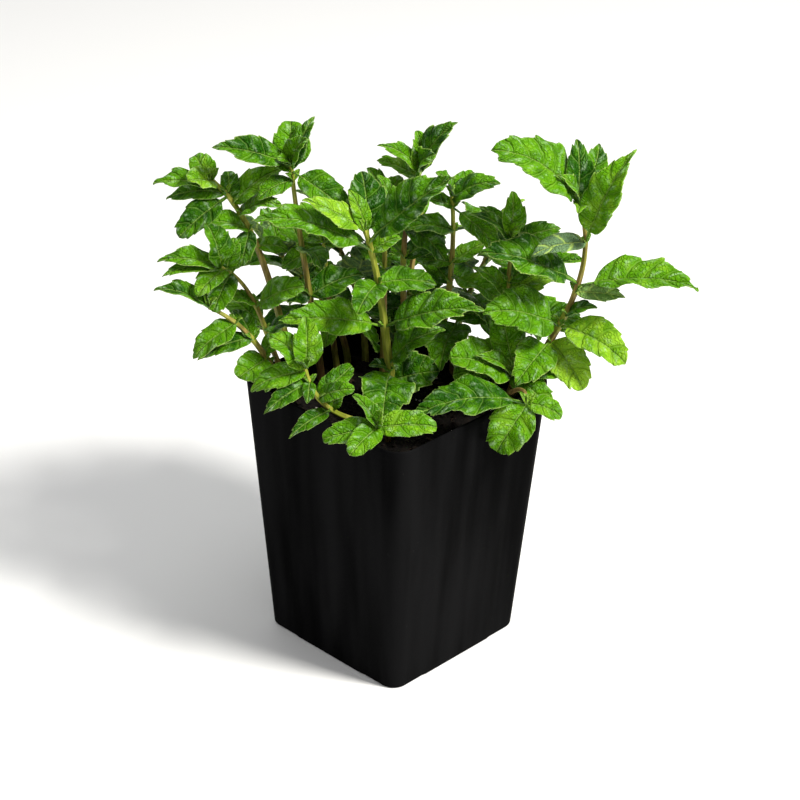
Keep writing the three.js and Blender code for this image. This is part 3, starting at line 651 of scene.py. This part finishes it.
def bud_leaves(controls, node_steps, seed):
    """The smallest leaves: two pairs round the stem's tip, and a pair in the axils of its nodes."""
    sprouts = []
    for level, (rise, length) in enumerate(BUD_PAIRS):
        for side in (0, 180):
            sprouts.append((BUD_STEP, 90 * level + BUD_SWING * draw(seed, 31) + side, rise, length))
    for k, step in enumerate(node_steps):
        for side in (0, 180):
            heading = 90 * k + 45 + side + AXIL_SWING * draw(seed, 40 + k)
            sprouts.append((step, heading, AXIL_RISE, AXIL_LENGTH + draw(seed, 50 + k)))
    made = []
    for k, (step, heading, rise, length) in enumerate(sprouts):
        own_seed = seed * 100 + k
        foot = curve_point(controls, step)
        chord, upper = chord_and_upper(foot, heading, rise, own_seed)
        made.append(SimpleNamespace(foot=foot, chord=chord, upper=upper, length=length,
                                    width=BUD_SLIMNESS * length, seed=own_seed, step=step))
    return made


def node_places(rows):
    """The steps along a stem at which its leaves stand, those of a pair taken together."""
    places = []
    for step in sorted({row[0] for row in rows}):
        if not places or step - places[-1] > NEAR_STEPS:
            places.append(step)
    return places


def corners_of(node):
    """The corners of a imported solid, in a tree that finds the nearest one."""
    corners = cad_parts[node].data.vertices
    tree = KDTree(len(corners))
    for k, corner in enumerate(corners):
        tree.insert(corner.co, k)
    tree.balance()
    return tree


def build_plant(leaf_material, stem_material):
    seed = 0
    for number, (name, thickness, route, rows) in enumerate(STEMS):
        controls = stem_controls(route)
        tree = corners_of(name)
        nodes = node_places(rows)
        leaves = Parts("lamina", "veins", "looks")
        for place, row in enumerate(rows):
            seed += 1
            leaf = placed_leaf(tree, controls, row, seed)
            if leaf is None:  # the model has no room for it
                continue
            vertices, faces, attributes = leaf_body(
                leaf, leaf_tint(name, place, leaf),
                turned_over=place in TURNED_OVER.get(name, ()),
                blunt=place in BLUNT.get(name, ()))
            leaves.add(vertices, faces, **attributes)
        for leaf in bud_leaves(controls, nodes[:-1], number + 1):
            vertices, faces, attributes = leaf_body(leaf, BUD_TINT)
            leaves.add(vertices, faces, **attributes)
        dress(leaves.build(name + "_leaves", leaf_material), "leaf", name)
        stalk = Parts("looks")
        vertices, faces, looks = stem_body(controls, thickness, nodes, OLIVE_STEMS.get(name, USUAL_RED))
        stalk.add(vertices, faces, looks=looks)
        dress(stalk.build(name + "_stalk", stem_material), "stem", name)


# ---- Pot ----

def pot_half(height):
    return lerp(BASE_WIDTH, MOUTH_WIDTH, height / POT_HEIGHT) / 2


def pot_corner(height):
    return lerp(BASE_CORNER, MOUTH_CORNER, height / POT_HEIGHT)


def pot_ring(height, inset, proud=0.0):
    """A level outline of the pot: a rounded square, set in, with a proud panel in each side."""
    half = pot_half(height) - inset
    corner = max(pot_corner(height) - inset, LEAST_CORNER)
    straight = half - corner
    panel = pot_half(height) * PANEL_WIDTH
    local = []
    for k in range(SIDE_POINTS):
        y = straight * (2 * k / SIDE_POINTS - 1)
        raised = proud * float(smoothstep(-abs(y), -panel - PANEL_EDGE, -panel))
        local.append((half + raised, y))
    for k in range(CORNER_POINTS):
        angle = math.pi / 2 * k / CORNER_POINTS
        local.append((straight + corner * math.cos(angle), straight + corner * math.sin(angle)))
    ring = []
    for side in range(4):
        cos, sin = round(math.cos(side * math.pi / 2)), round(math.sin(side * math.pi / 2))
        ring += [(x * cos - y * sin, x * sin + y * cos, height) for x, y in local]
    return ring


def build_pot(material):
    rings = []
    for k in range(FOOT_STEPS + 1):
        angle = math.pi / 2 * k / FOOT_STEPS
        height = FOOT_ROUND * (1 - math.cos(angle))
        inset = FOOT_ROUND * (1 - math.sin(angle))
        rings.append(pot_ring(height, inset, PANEL_PROUD))
    lip = POT_WALL / 2
    for k in range(1, SIDE_STEPS + 1):
        height = lerp(FOOT_ROUND, POT_HEIGHT - lip, k / SIDE_STEPS)
        fade = 1 - float(smoothstep(height / POT_HEIGHT, *PANEL_FADES))
        rings.append(pot_ring(height, 0, PANEL_PROUD * fade))
    for k in range(1, LIP_STEPS + 1):
        angle = math.pi * k / LIP_STEPS
        rings.append(pot_ring(POT_HEIGHT - lip + lip * math.sin(angle), lip * (1 - math.cos(angle))))
    for height in (*(POT_HEIGHT * share for share in INNER_HEIGHTS), POT_FLOOR):
        rings.append(pot_ring(height, POT_WALL))
    faces = tube_faces(len(rings), len(rings[0]))
    pot = mesh_object("pot_shell", np.concatenate(rings), faces, material)
    for x in (-DRAIN_PLACE, DRAIN_PLACE):
        for y in (-DRAIN_PLACE, DRAIN_PLACE):
            cut_drain(pot, x, y)
    dress(pot, "pot", "pot")


def cut_drain(pot, x, y):
    around = [2 * math.pi * k / DRAIN_SIDES for k in range(DRAIN_SIDES)]
    rings = [[(x + DRAIN_RADIUS * math.cos(a), y + DRAIN_RADIUS * math.sin(a), z) for a in around]
             for z in (-POT_FLOOR, 2 * POT_FLOOR)]
    faces = tube_faces(len(rings), DRAIN_SIDES)
    drill = mesh_object("drill", np.concatenate(rings), faces, pot.data.materials[0])
    cut = pot.modifiers.new("drain", "BOOLEAN")
    cut.operation = "DIFFERENCE"
    cut.solver = "EXACT"
    cut.object = drill
    bpy.context.view_layer.objects.active = pot
    bpy.ops.object.modifier_apply(modifier=cut.name)
    bpy.data.objects.remove(drill)


# ---- Potting mix ----

def soil_height(x, y):
    """Height of the mix at a place of the part's frame, in millimetres: the model's swells and crumbs."""
    broad = np.sin(x * 0.11 + 1.3) * np.cos(y * 0.13 - 0.4)
    fine = np.sin(x * 0.43 - y * 0.31) * np.sin(y * 0.47 + x * 0.21 + 2)
    height = SOIL_TOP + SOIL_RELIEF * (0.6 * broad + 0.4 * fine)
    for waves, depth, turn in CRUMBLES:
        across = x * math.cos(turn) + y * math.sin(turn)
        along = y * math.cos(turn) - x * math.sin(turn)
        bent = across * waves + 1.3 * np.sin(along * waves * 0.6)
        height = height + depth * np.sin(bent) * np.sin(along * waves * 0.9)
    return height


def build_soil(material):
    """The bed: a grid squeezed to the pot's rounded square, closed below."""
    cells = SOIL_CELLS
    top = SOIL_TOP * MM
    inset = POT_WALL + SOIL_GAP
    half, corner = pot_half(top) - inset, pot_corner(top) - inset
    side = np.linspace(-1, 1, cells + 1)
    gx, gy = np.meshgrid(side, side, indexing="ij")
    pinch = 1 - (1 - math.sqrt(0.5)) * corner / half * (np.abs(gx * gy)) ** PINCH_POWER
    x, y = gx * half * pinch, gy * half * pinch
    z = soil_height(x / MM, y / MM) * MM
    edge = np.maximum(np.abs(gx), np.abs(gy))
    z = z - SOIL_DIP * smoothstep(edge, SOIL_DIPS_FROM, 1)
    count = cells + 1
    vertices = np.stack([x, y, z], -1).reshape(-1, 3)
    faces = [[i * count + j, (i + 1) * count + j, (i + 1) * count + j + 1, i * count + j + 1]
             for i in range(cells) for j in range(cells)]
    border = [(i, 0) for i in range(cells)] + [(cells, j) for j in range(cells)]
    border += [(i, cells) for i in range(cells, 0, -1)] + [(0, j) for j in range(cells, 0, -1)]
    rim = [i * count + j for i, j in border]
    base_half = pot_half(SOIL_FLOOR) - inset
    skirt = vertices[rim] * [base_half / half, base_half / half, 0] + [0, 0, SOIL_FLOOR]
    first = len(vertices)
    vertices = np.concatenate([vertices, skirt])
    for k, corner_index in enumerate(rim):
        after = (k + 1) % len(rim)
        faces.append([rim[after], corner_index, first + k, first + after])
    faces.append([first + k for k in range(len(rim))][::-1])
    bed = mesh_object("soil_bed", vertices, faces, material)
    dress(bed, "soil", "soil")


def pebble(rng, size, flatness):
    """A small angular crumb: a randomly pushed ball, as (vertices, faces)."""
    rings, sides = 4, 6
    vertices = [(0, 0, -1)]
    for ring in range(1, rings):
        tilt = math.pi * ring / rings
        reach = math.sin(tilt)
        for k in range(sides):
            angle = 2 * math.pi * (k + 0.5 * ring) / sides
            vertices.append((reach * math.cos(angle), reach * math.sin(angle), -math.cos(tilt)))
    vertices.append((0, 0, 1))
    vertices = np.array(vertices) * rng.uniform(*CRUMB_SHAPE, (len(vertices), 1))
    vertices = vertices * np.array(size) * [1, 1, flatness]
    faces = []
    for k in range(sides):
        after = (k + 1) % sides
        faces.append([0, 1 + after, 1 + k])
        for ring in range(rings - 2):
            low = 1 + ring * sides
            faces.append([low + k, low + after, low + sides + after, low + sides + k])
        low = 1 + (rings - 2) * sides
        faces.append([low + k, low + after, len(vertices) - 1])
    return vertices, faces


def scatter(name, material, count, sizes, flatness, stretch, seed):
    """Crumbs lying half sunk in the top of the mix."""
    rng = np.random.default_rng(seed)
    reach = (pot_half(SOIL_TOP * MM) - POT_WALL) / MM - CRUMBS_OFF_WALL
    crumbs = Parts("looks")
    for _ in range(count):
        x, y = rng.uniform(-reach, reach, 2)
        size = rng.uniform(*sizes)
        vertices, faces = pebble(rng, (size * rng.uniform(1, stretch), size, size), flatness)
        turn = np.array(Matrix.Rotation(rng.uniform(0, math.tau), 3, "Z")
                        @ Matrix.Rotation(rng.uniform(-CRUMB_TILT, CRUMB_TILT), 3, "X"))
        vertices = vertices @ turn.T + [x, y, float(soil_height(x, y)) + CRUMB_RISE * size * flatness]
        look = rng.uniform(0, 1)
        crumbs.add(vertices * MM, faces, looks=np.full((len(vertices), 3), look))
    dress(crumbs.build(name, material, turned=False, smooth=False), "soil")


# ---- Materials ----

class Paint:
    """A node material, with short ways to add its nodes."""

    def __init__(self, name):
        self.material = bpy.data.materials.new(name)
        self.material.use_nodes = True
        self.tree = self.material.node_tree
        self.shader = self.tree.nodes["Principled BSDF"]

    def add(self, kind, inputs=None, **settings):
        node = self.tree.nodes.new(kind)
        for key, value in settings.items():
            setattr(node, key, value)
        for key, value in (inputs or {}).items():
            self.put(node, key, value)
        return node

    def put(self, node, key, value):
        if isinstance(value, bpy.types.NodeSocket):
            self.tree.links.new(value, node.inputs[key])
        else:
            node.inputs[key].default_value = value

    def set(self, **inputs):
        for key, value in inputs.items():
            self.put(self.shader, key.replace("_", " "), value)

    def math(self, operation, a, b=0.0):
        return self.add("ShaderNodeMath", {0: a, 1: b}, operation=operation).outputs[0]

    def plus(self, a, b):
        return self.math("ADD", a, b)

    def minus(self, a, b):
        return self.math("SUBTRACT", a, b)

    def times(self, a, b):
        return self.math("MULTIPLY", a, b)

    def ramp(self, value, low, high, to_low=0.0, to_high=1.0):
        """A smooth step of a value from one range to another."""
        node = self.add("ShaderNodeMapRange", {
            "Value": value, "From Min": low, "From Max": high, "To Min": to_low, "To Max": to_high},
            interpolation_type="SMOOTHSTEP")
        return node.outputs["Result"]

    def mix(self, share, a, b, blend="MIX"):
        node = self.add("ShaderNodeMix", data_type="RGBA", blend_type=blend)
        for index, value in ((0, share), (6, a), (7, b)):
            self.put(node, index, value)
        return node.outputs[2]

    def attribute(self, name):
        """The three values of a vertex attribute, and the whole of it."""
        node = self.add("ShaderNodeAttribute", attribute_name=name)
        split = self.add("ShaderNodeSeparateXYZ", {0: node.outputs["Vector"]})
        return *split.outputs, node.outputs["Vector"]

    def noise(self, vector, scale, detail=3.0, roughness=0.5):
        node = self.add("ShaderNodeTexNoise", {
            "Vector": vector, "Scale": scale, "Detail": detail, "Roughness": roughness})
        return node.outputs["Fac"]

    def place(self, stretch=(1, 1, 1)):
        """The piece's own coordinates, in metres, stretched along the axes."""
        place = self.add("ShaderNodeTexCoord").outputs["Object"]
        return self.add("ShaderNodeMapping", {"Vector": place, "Scale": stretch}).outputs[0]

    def bump(self, height, depth):
        node = self.add("ShaderNodeBump", {"Height": height, "Distance": depth, "Strength": 1.0})
        self.tree.links.new(node.outputs[0], self.shader.inputs["Normal"])


# Linear colours. A pair is what the darker and the lighter places of a surface have.
DARK_LEAF = (0.014, 0.078, 0.0006, 1)
GREEN_LEAF = (0.093, 0.268, 0.002, 1)
LIME_LEAF = (0.28, 0.5, 0.024, 1)
PAINTED_SHEEN_LEAF = (0.5, 0.68, 0.42, 1)
UNDER_LEAF = (0.15, 0.25, 0.12, 1)
PALE_VEIN = (0.27, 0.44, 0.08, 1)
# Pale underside veins, and the painted light of a leaf's thin lit rim.
UNDER_VEIN_AND_RIM_LIGHT = (0.42, 0.58, 0.14, 1)
# Painted shade for the sunk side veins and the fine net of the upper side.
FURROW_SHADE = (0.45, 0.55, 0.4, 1)
UNDER_SHADE = (0.08, 0.17, 0.05, 1)
OLIVE_STALK = (0.2, 0.24, 0.02, 1), (0.38, 0.39, 0.06, 1)
RED_STALK = (0.12, 0.062, 0.024, 1), (0.33, 0.21, 0.07, 1)
# Painted shade at the foot of the stalks.
STALK_FOOT_SHADE = (0.012, 0.006, 0.004, 1)
BLACK_PLASTIC = (0.0012, 0.0012, 0.0013, 1), (0.0068, 0.0068, 0.0072, 1)
SCUFF = (0.2, 0.2, 0.19, 1)
POTTING_MIX = (0.0015, 0.0012, 0.001, 1), (0.009, 0.006, 0.004, 1)
CRUMB = (0.0025, 0.002, 0.0014, 1), (0.013, 0.008, 0.0055, 1)
BARK = (0.004, 0.0025, 0.0018, 1), (0.04, 0.023, 0.012, 1)
PERLITE = (0.16, 0.14, 0.11, 1), (0.62, 0.6, 0.55, 1)
PALE_FLOOR = (0.9, 0.9, 0.9, 1)


def leaf_paint():
    paint = Paint("mint_leaf")
    _, across, own, lamina = paint.attribute("lamina")
    phase, from_rib, edge, _ = paint.attribute("veins")
    tint, under, chance, _ = paint.attribute("looks")

    # Masks: the furrows of the side veins and the pale lines in them, the midrib, the fine net between
    # them, and streaks that run along the side veins.
    wander = paint.times(paint.minus(paint.noise(lamina, 0.5), 0.5), 0.22)
    to_vein = paint.math("PINGPONG", paint.plus(phase, wander), 0.5)
    side_vein = paint.ramp(to_vein, 0.03, 0.15, 1, 0)
    vein_line = paint.ramp(to_vein, 0.012, 0.055, 1, 0)
    bulge = paint.ramp(to_vein, 0.05, 0.45)
    midrib = paint.ramp(from_rib, 0.15, 0.55, 1, 0)
    net = paint.add("ShaderNodeTexVoronoi", {"Vector": lamina, "Scale": 0.62}, feature="DISTANCE_TO_EDGE")
    net = paint.ramp(net.outputs["Distance"], 0, 0.22, 1, 0)
    veined = paint.math("MAXIMUM", side_vein, paint.times(net, 0.5))
    along_veins = paint.add("ShaderNodeCombineXYZ", {
        0: paint.times(phase, 2.6), 1: paint.times(across, 0.3), 2: own})
    streak = paint.noise(along_veins.outputs[0], 1.0, 3.0, 0.6)

    # Upper side: dark to lime by age, and for some listed leaves by painted light and shade; mottled;
    # painted shade in the sunk veins and the fine net; a painted sheen on the bulges; painted light along
    # the thin rim.
    blotch = paint.ramp(paint.noise(lamina, 0.16), 0.32, 0.68, -0.17, 0.17)
    # The tint is the leaf's age, and for some listed leaves also painted light and shade.
    age_and_painted_light = paint.plus(tint, blotch)
    young = paint.mix(paint.ramp(age_and_painted_light, 0.45, 1), GREEN_LEAF, LIME_LEAF)
    colour = paint.mix(paint.ramp(age_and_painted_light, 0, 0.5), DARK_LEAF, young)
    # Painted sheen: whitish streaks on the bulges stand in for the leaf's highlights.
    painted_sheen = paint.times(bulge, paint.ramp(streak, 0.48, 0.72, 0, 0.95))
    colour = paint.mix(painted_sheen, colour, paint.mix(0.5, colour, PAINTED_SHEEN_LEAF))
    # Painted shade: the sunk side veins and the fine net between them are painted darker.
    shaded = paint.mix(1, colour, FURROW_SHADE, "MULTIPLY")
    colour = paint.mix(paint.times(veined, 0.5), colour, shaded)
    pale_line = paint.times(vein_line, 0.2)
    pale = paint.math("MAXIMUM", paint.times(midrib, 0.5), pale_line)
    colour = paint.mix(pale, colour, PALE_VEIN)
    # Painted light: a pale line along the thin rim of some leaves, where light comes through the margin.
    rim_light = paint.times(paint.ramp(edge, 0.94, 0.99), paint.ramp(chance, -0.6, 0.6, 0.2, 0.6))
    colour = paint.mix(rim_light, colour, UNDER_VEIN_AND_RIM_LIGHT)

    # Under side: paler and greyer, with raised light veins.
    below = paint.mix(paint.ramp(age_and_painted_light, 0, 1), UNDER_LEAF, LIME_LEAF)
    below = paint.mix(0.6, below, UNDER_LEAF)
    below = paint.mix(paint.ramp(streak, 0.35, 0.7, 0, 0.3), below, UNDER_SHADE)
    raised = paint.times(paint.math("MAXIMUM", side_vein, midrib), 0.75)
    below = paint.mix(raised, below, UNDER_VEIN_AND_RIM_LIGHT)
    colour = paint.mix(under, colour, below)

    grain = paint.noise(lamina, 3.0, 2.0)
    relief = paint.plus(paint.times(grain, 0.2), paint.times(streak, 0.9))
    relief = paint.minus(relief, paint.times(veined, 0.7))
    relief = paint.minus(relief, paint.times(midrib, 0.5))
    paint.bump(relief, 0.001)
    rough = paint.ramp(paint.noise(lamina, 0.8), 0.3, 0.7, 0.28, 0.4)
    rough = paint.plus(rough, paint.times(under, 0.2))
    paint.set(Base_Color=colour, Roughness=rough, Subsurface_Weight=0.1, Subsurface_Scale=0.001,
              Subsurface_Radius=(0.6, 1.0, 0.1), Specular_IOR_Level=0.08)
    return paint.material


def stem_paint():
    paint = Paint("mint_stem")
    along, redness, swelling, _ = paint.attribute("looks")
    streak = paint.noise(paint.place((600, 600, 60)), 1.0, 3.0)
    olive = paint.mix(paint.ramp(streak, 0.35, 0.7), *OLIVE_STALK)
    red = paint.mix(paint.ramp(streak, 0.3, 0.7), *RED_STALK)
    blotch = paint.ramp(paint.noise(paint.place(), 45.0), 0.3, 0.7, -0.25, 0.25)
    share = paint.plus(redness, blotch)
    share = paint.minus(share, paint.ramp(along, 0.75, 1, 0, 0.55))
    share = paint.minus(share, paint.times(swelling, 0.35))
    colour = paint.mix(paint.ramp(share, 0.15, 0.8), olive, red)
    # Painted shade: the lower part of a stalk, in the shadow under the leaves, is painted dark, the more so
    # the redder the stalk.
    foot_shade = paint.times(paint.ramp(along, 0.05, 0.35, 0.85, 0), redness)
    colour = paint.mix(foot_shade, colour, STALK_FOOT_SHADE)
    paint.bump(streak, 0.00025)
    paint.set(Base_Color=colour, Roughness=0.5, Specular_IOR_Level=0.2)
    return paint.material


def pot_paint():
    paint = Paint("black_plastic")
    mottled = paint.noise(paint.place((30, 30, 8)), 1.0, 4.0)
    grain = paint.noise(paint.place(), 1400.0, 2.0)
    worn = paint.noise(paint.place((160, 160, 70)), 1.0, 6.0, 0.7)
    scuff = paint.ramp(worn, 0.69, 0.77, 0, 0.16)
    drips = paint.noise(paint.place((80, 80, 4)), 1.0, 2.0)
    dust = paint.plus(paint.times(mottled, 0.5), paint.times(drips, 0.5))
    colour = paint.mix(paint.ramp(dust, 0.36, 0.64), *BLACK_PLASTIC)
    colour = paint.mix(scuff, colour, SCUFF)
    rough = paint.ramp(dust, 0.3, 0.7, 0.38, 0.52)
    paint.bump(paint.plus(paint.times(grain, 0.2), mottled), 0.0002)
    paint.set(Base_Color=colour, Roughness=rough, Specular_IOR_Level=0.004)
    return paint.material


def soil_paint(name, dark, light):
    paint = Paint(name)
    clods = paint.noise(paint.place(), 420.0, 6.0, 0.65)
    colour = paint.mix(paint.ramp(clods, 0.35, 0.72), dark, light)
    paint.bump(clods, 0.0012)
    paint.set(Base_Color=colour, Roughness=0.95, Specular_IOR_Level=0.15)
    return paint.material


def chip_paint():
    paint = Paint("bark_chip")
    look = paint.attribute("looks")[0]
    fibre = paint.noise(paint.place((500, 500, 1500)), 1.0, 4.0)
    tone = paint.plus(look, paint.ramp(fibre, 0.3, 0.7, -0.2, 0.2))
    colour = paint.mix(paint.ramp(tone, 0.2, 1.1), *BARK)
    paint.bump(fibre, 0.0004)
    paint.set(Base_Color=colour, Roughness=0.9, Specular_IOR_Level=0.2)
    return paint.material


def speck_paint():
    paint = Paint("perlite")
    look = paint.attribute("looks")[0]
    pits = paint.noise(paint.place(), 1500.0, 3.0)
    tone = paint.plus(look, paint.ramp(pits, 0.3, 0.7, -0.25, 0.25))
    colour = paint.mix(paint.ramp(tone, 0, 1), *PERLITE)
    paint.bump(pits, 0.0004)
    paint.set(Base_Color=colour, Roughness=0.9)
    return paint.material


# ---- The setting ----

def make_camera():
    right = Vector((math.cos(CAMERA_AZIMUTH), math.sin(CAMERA_AZIMUTH), 0))
    level = math.cos(CAMERA_ELEVATION)
    back = Vector((math.sin(CAMERA_AZIMUTH) * level, -math.cos(CAMERA_AZIMUTH) * level,
                   math.sin(CAMERA_ELEVATION)))
    up = back.cross(right)
    aim = right * CAMERA_AIM_RIGHT + Vector((0, 0, CAMERA_AIM_HEIGHT))
    cos, sin = math.cos(CAMERA_ROLL), math.sin(CAMERA_ROLL)
    axes = Matrix((right * cos + up * sin, up * cos - right * sin, back)).transposed()
    data = bpy.data.cameras.new("camera")
    data.lens = CAMERA_LENS
    data.sensor_width = SENSOR
    camera = bpy.data.objects.new("camera", data)
    camera.matrix_world = Matrix.Translation(aim + back * CAMERA_DISTANCE) @ axes.to_4x4()
    bpy.context.scene.collection.objects.link(camera)
    bpy.context.scene.camera = camera


def area_light(name, direction, distance, size, power, colour=(1, 1, 1)):
    data = bpy.data.lights.new(name, "AREA")
    data.shape = "DISK"
    data.size = size
    data.energy = power
    data.color = colour
    light = bpy.data.objects.new(name, data)
    towards = Vector(direction).normalized()
    light.location = Vector((0, 0, LIGHTS_AIM)) + towards * distance
    light.rotation_euler = towards.to_track_quat("Z", "Y").to_euler()
    bpy.context.scene.collection.objects.link(light)


def make_setting():
    world = bpy.data.worlds.new("studio")
    world.use_nodes = True
    background = world.node_tree.nodes["Background"]
    background.inputs["Color"].default_value = (1, 1, 1, 1)
    background.inputs["Strength"].default_value = WORLD_LIGHT
    bpy.context.scene.world = world
    area_light("key", (1, 0.3, 1.2), distance=1.5, size=0.4, power=37, colour=WARM_WHITE)
    area_light("front", (0.35, -1, 1.1), distance=1.6, size=0.9, power=2.5)
    area_light("top", (-0.2, 0.2, 1), distance=1.6, size=1.2, power=6)
    paint = Paint("floor")
    paint.set(Base_Color=PALE_FLOOR, Roughness=0.9, Specular_IOR_Level=0.1)
    corners = [(x * FLOOR_REACH, y * FLOOR_REACH, 0) for x, y in ((-1, -1), (1, -1), (1, 1), (-1, 1))]
    floor = mesh_object("floor", corners, [[0, 1, 2, 3]], paint.material)
    bpy.context.scene.view_settings.view_transform = "Standard"


make_camera()
make_setting()
build_pot(pot_paint())
build_soil(soil_paint("potting_mix", *POTTING_MIX))
crumb_paint = soil_paint("crumb", *CRUMB)
scatter("soil_crumbs", crumb_paint, count=420, sizes=(0.7, 1.8), flatness=0.7, stretch=1.3, seed=5)
scatter("soil_chips", chip_paint(), count=110, sizes=(0.9, 1.7), flatness=0.35, stretch=3.2, seed=6)
scatter("soil_specks", speck_paint(), count=90, sizes=(0.35, 0.8), flatness=0.8, stretch=1.2, seed=7)
build_plant(leaf_paint(), stem_paint())
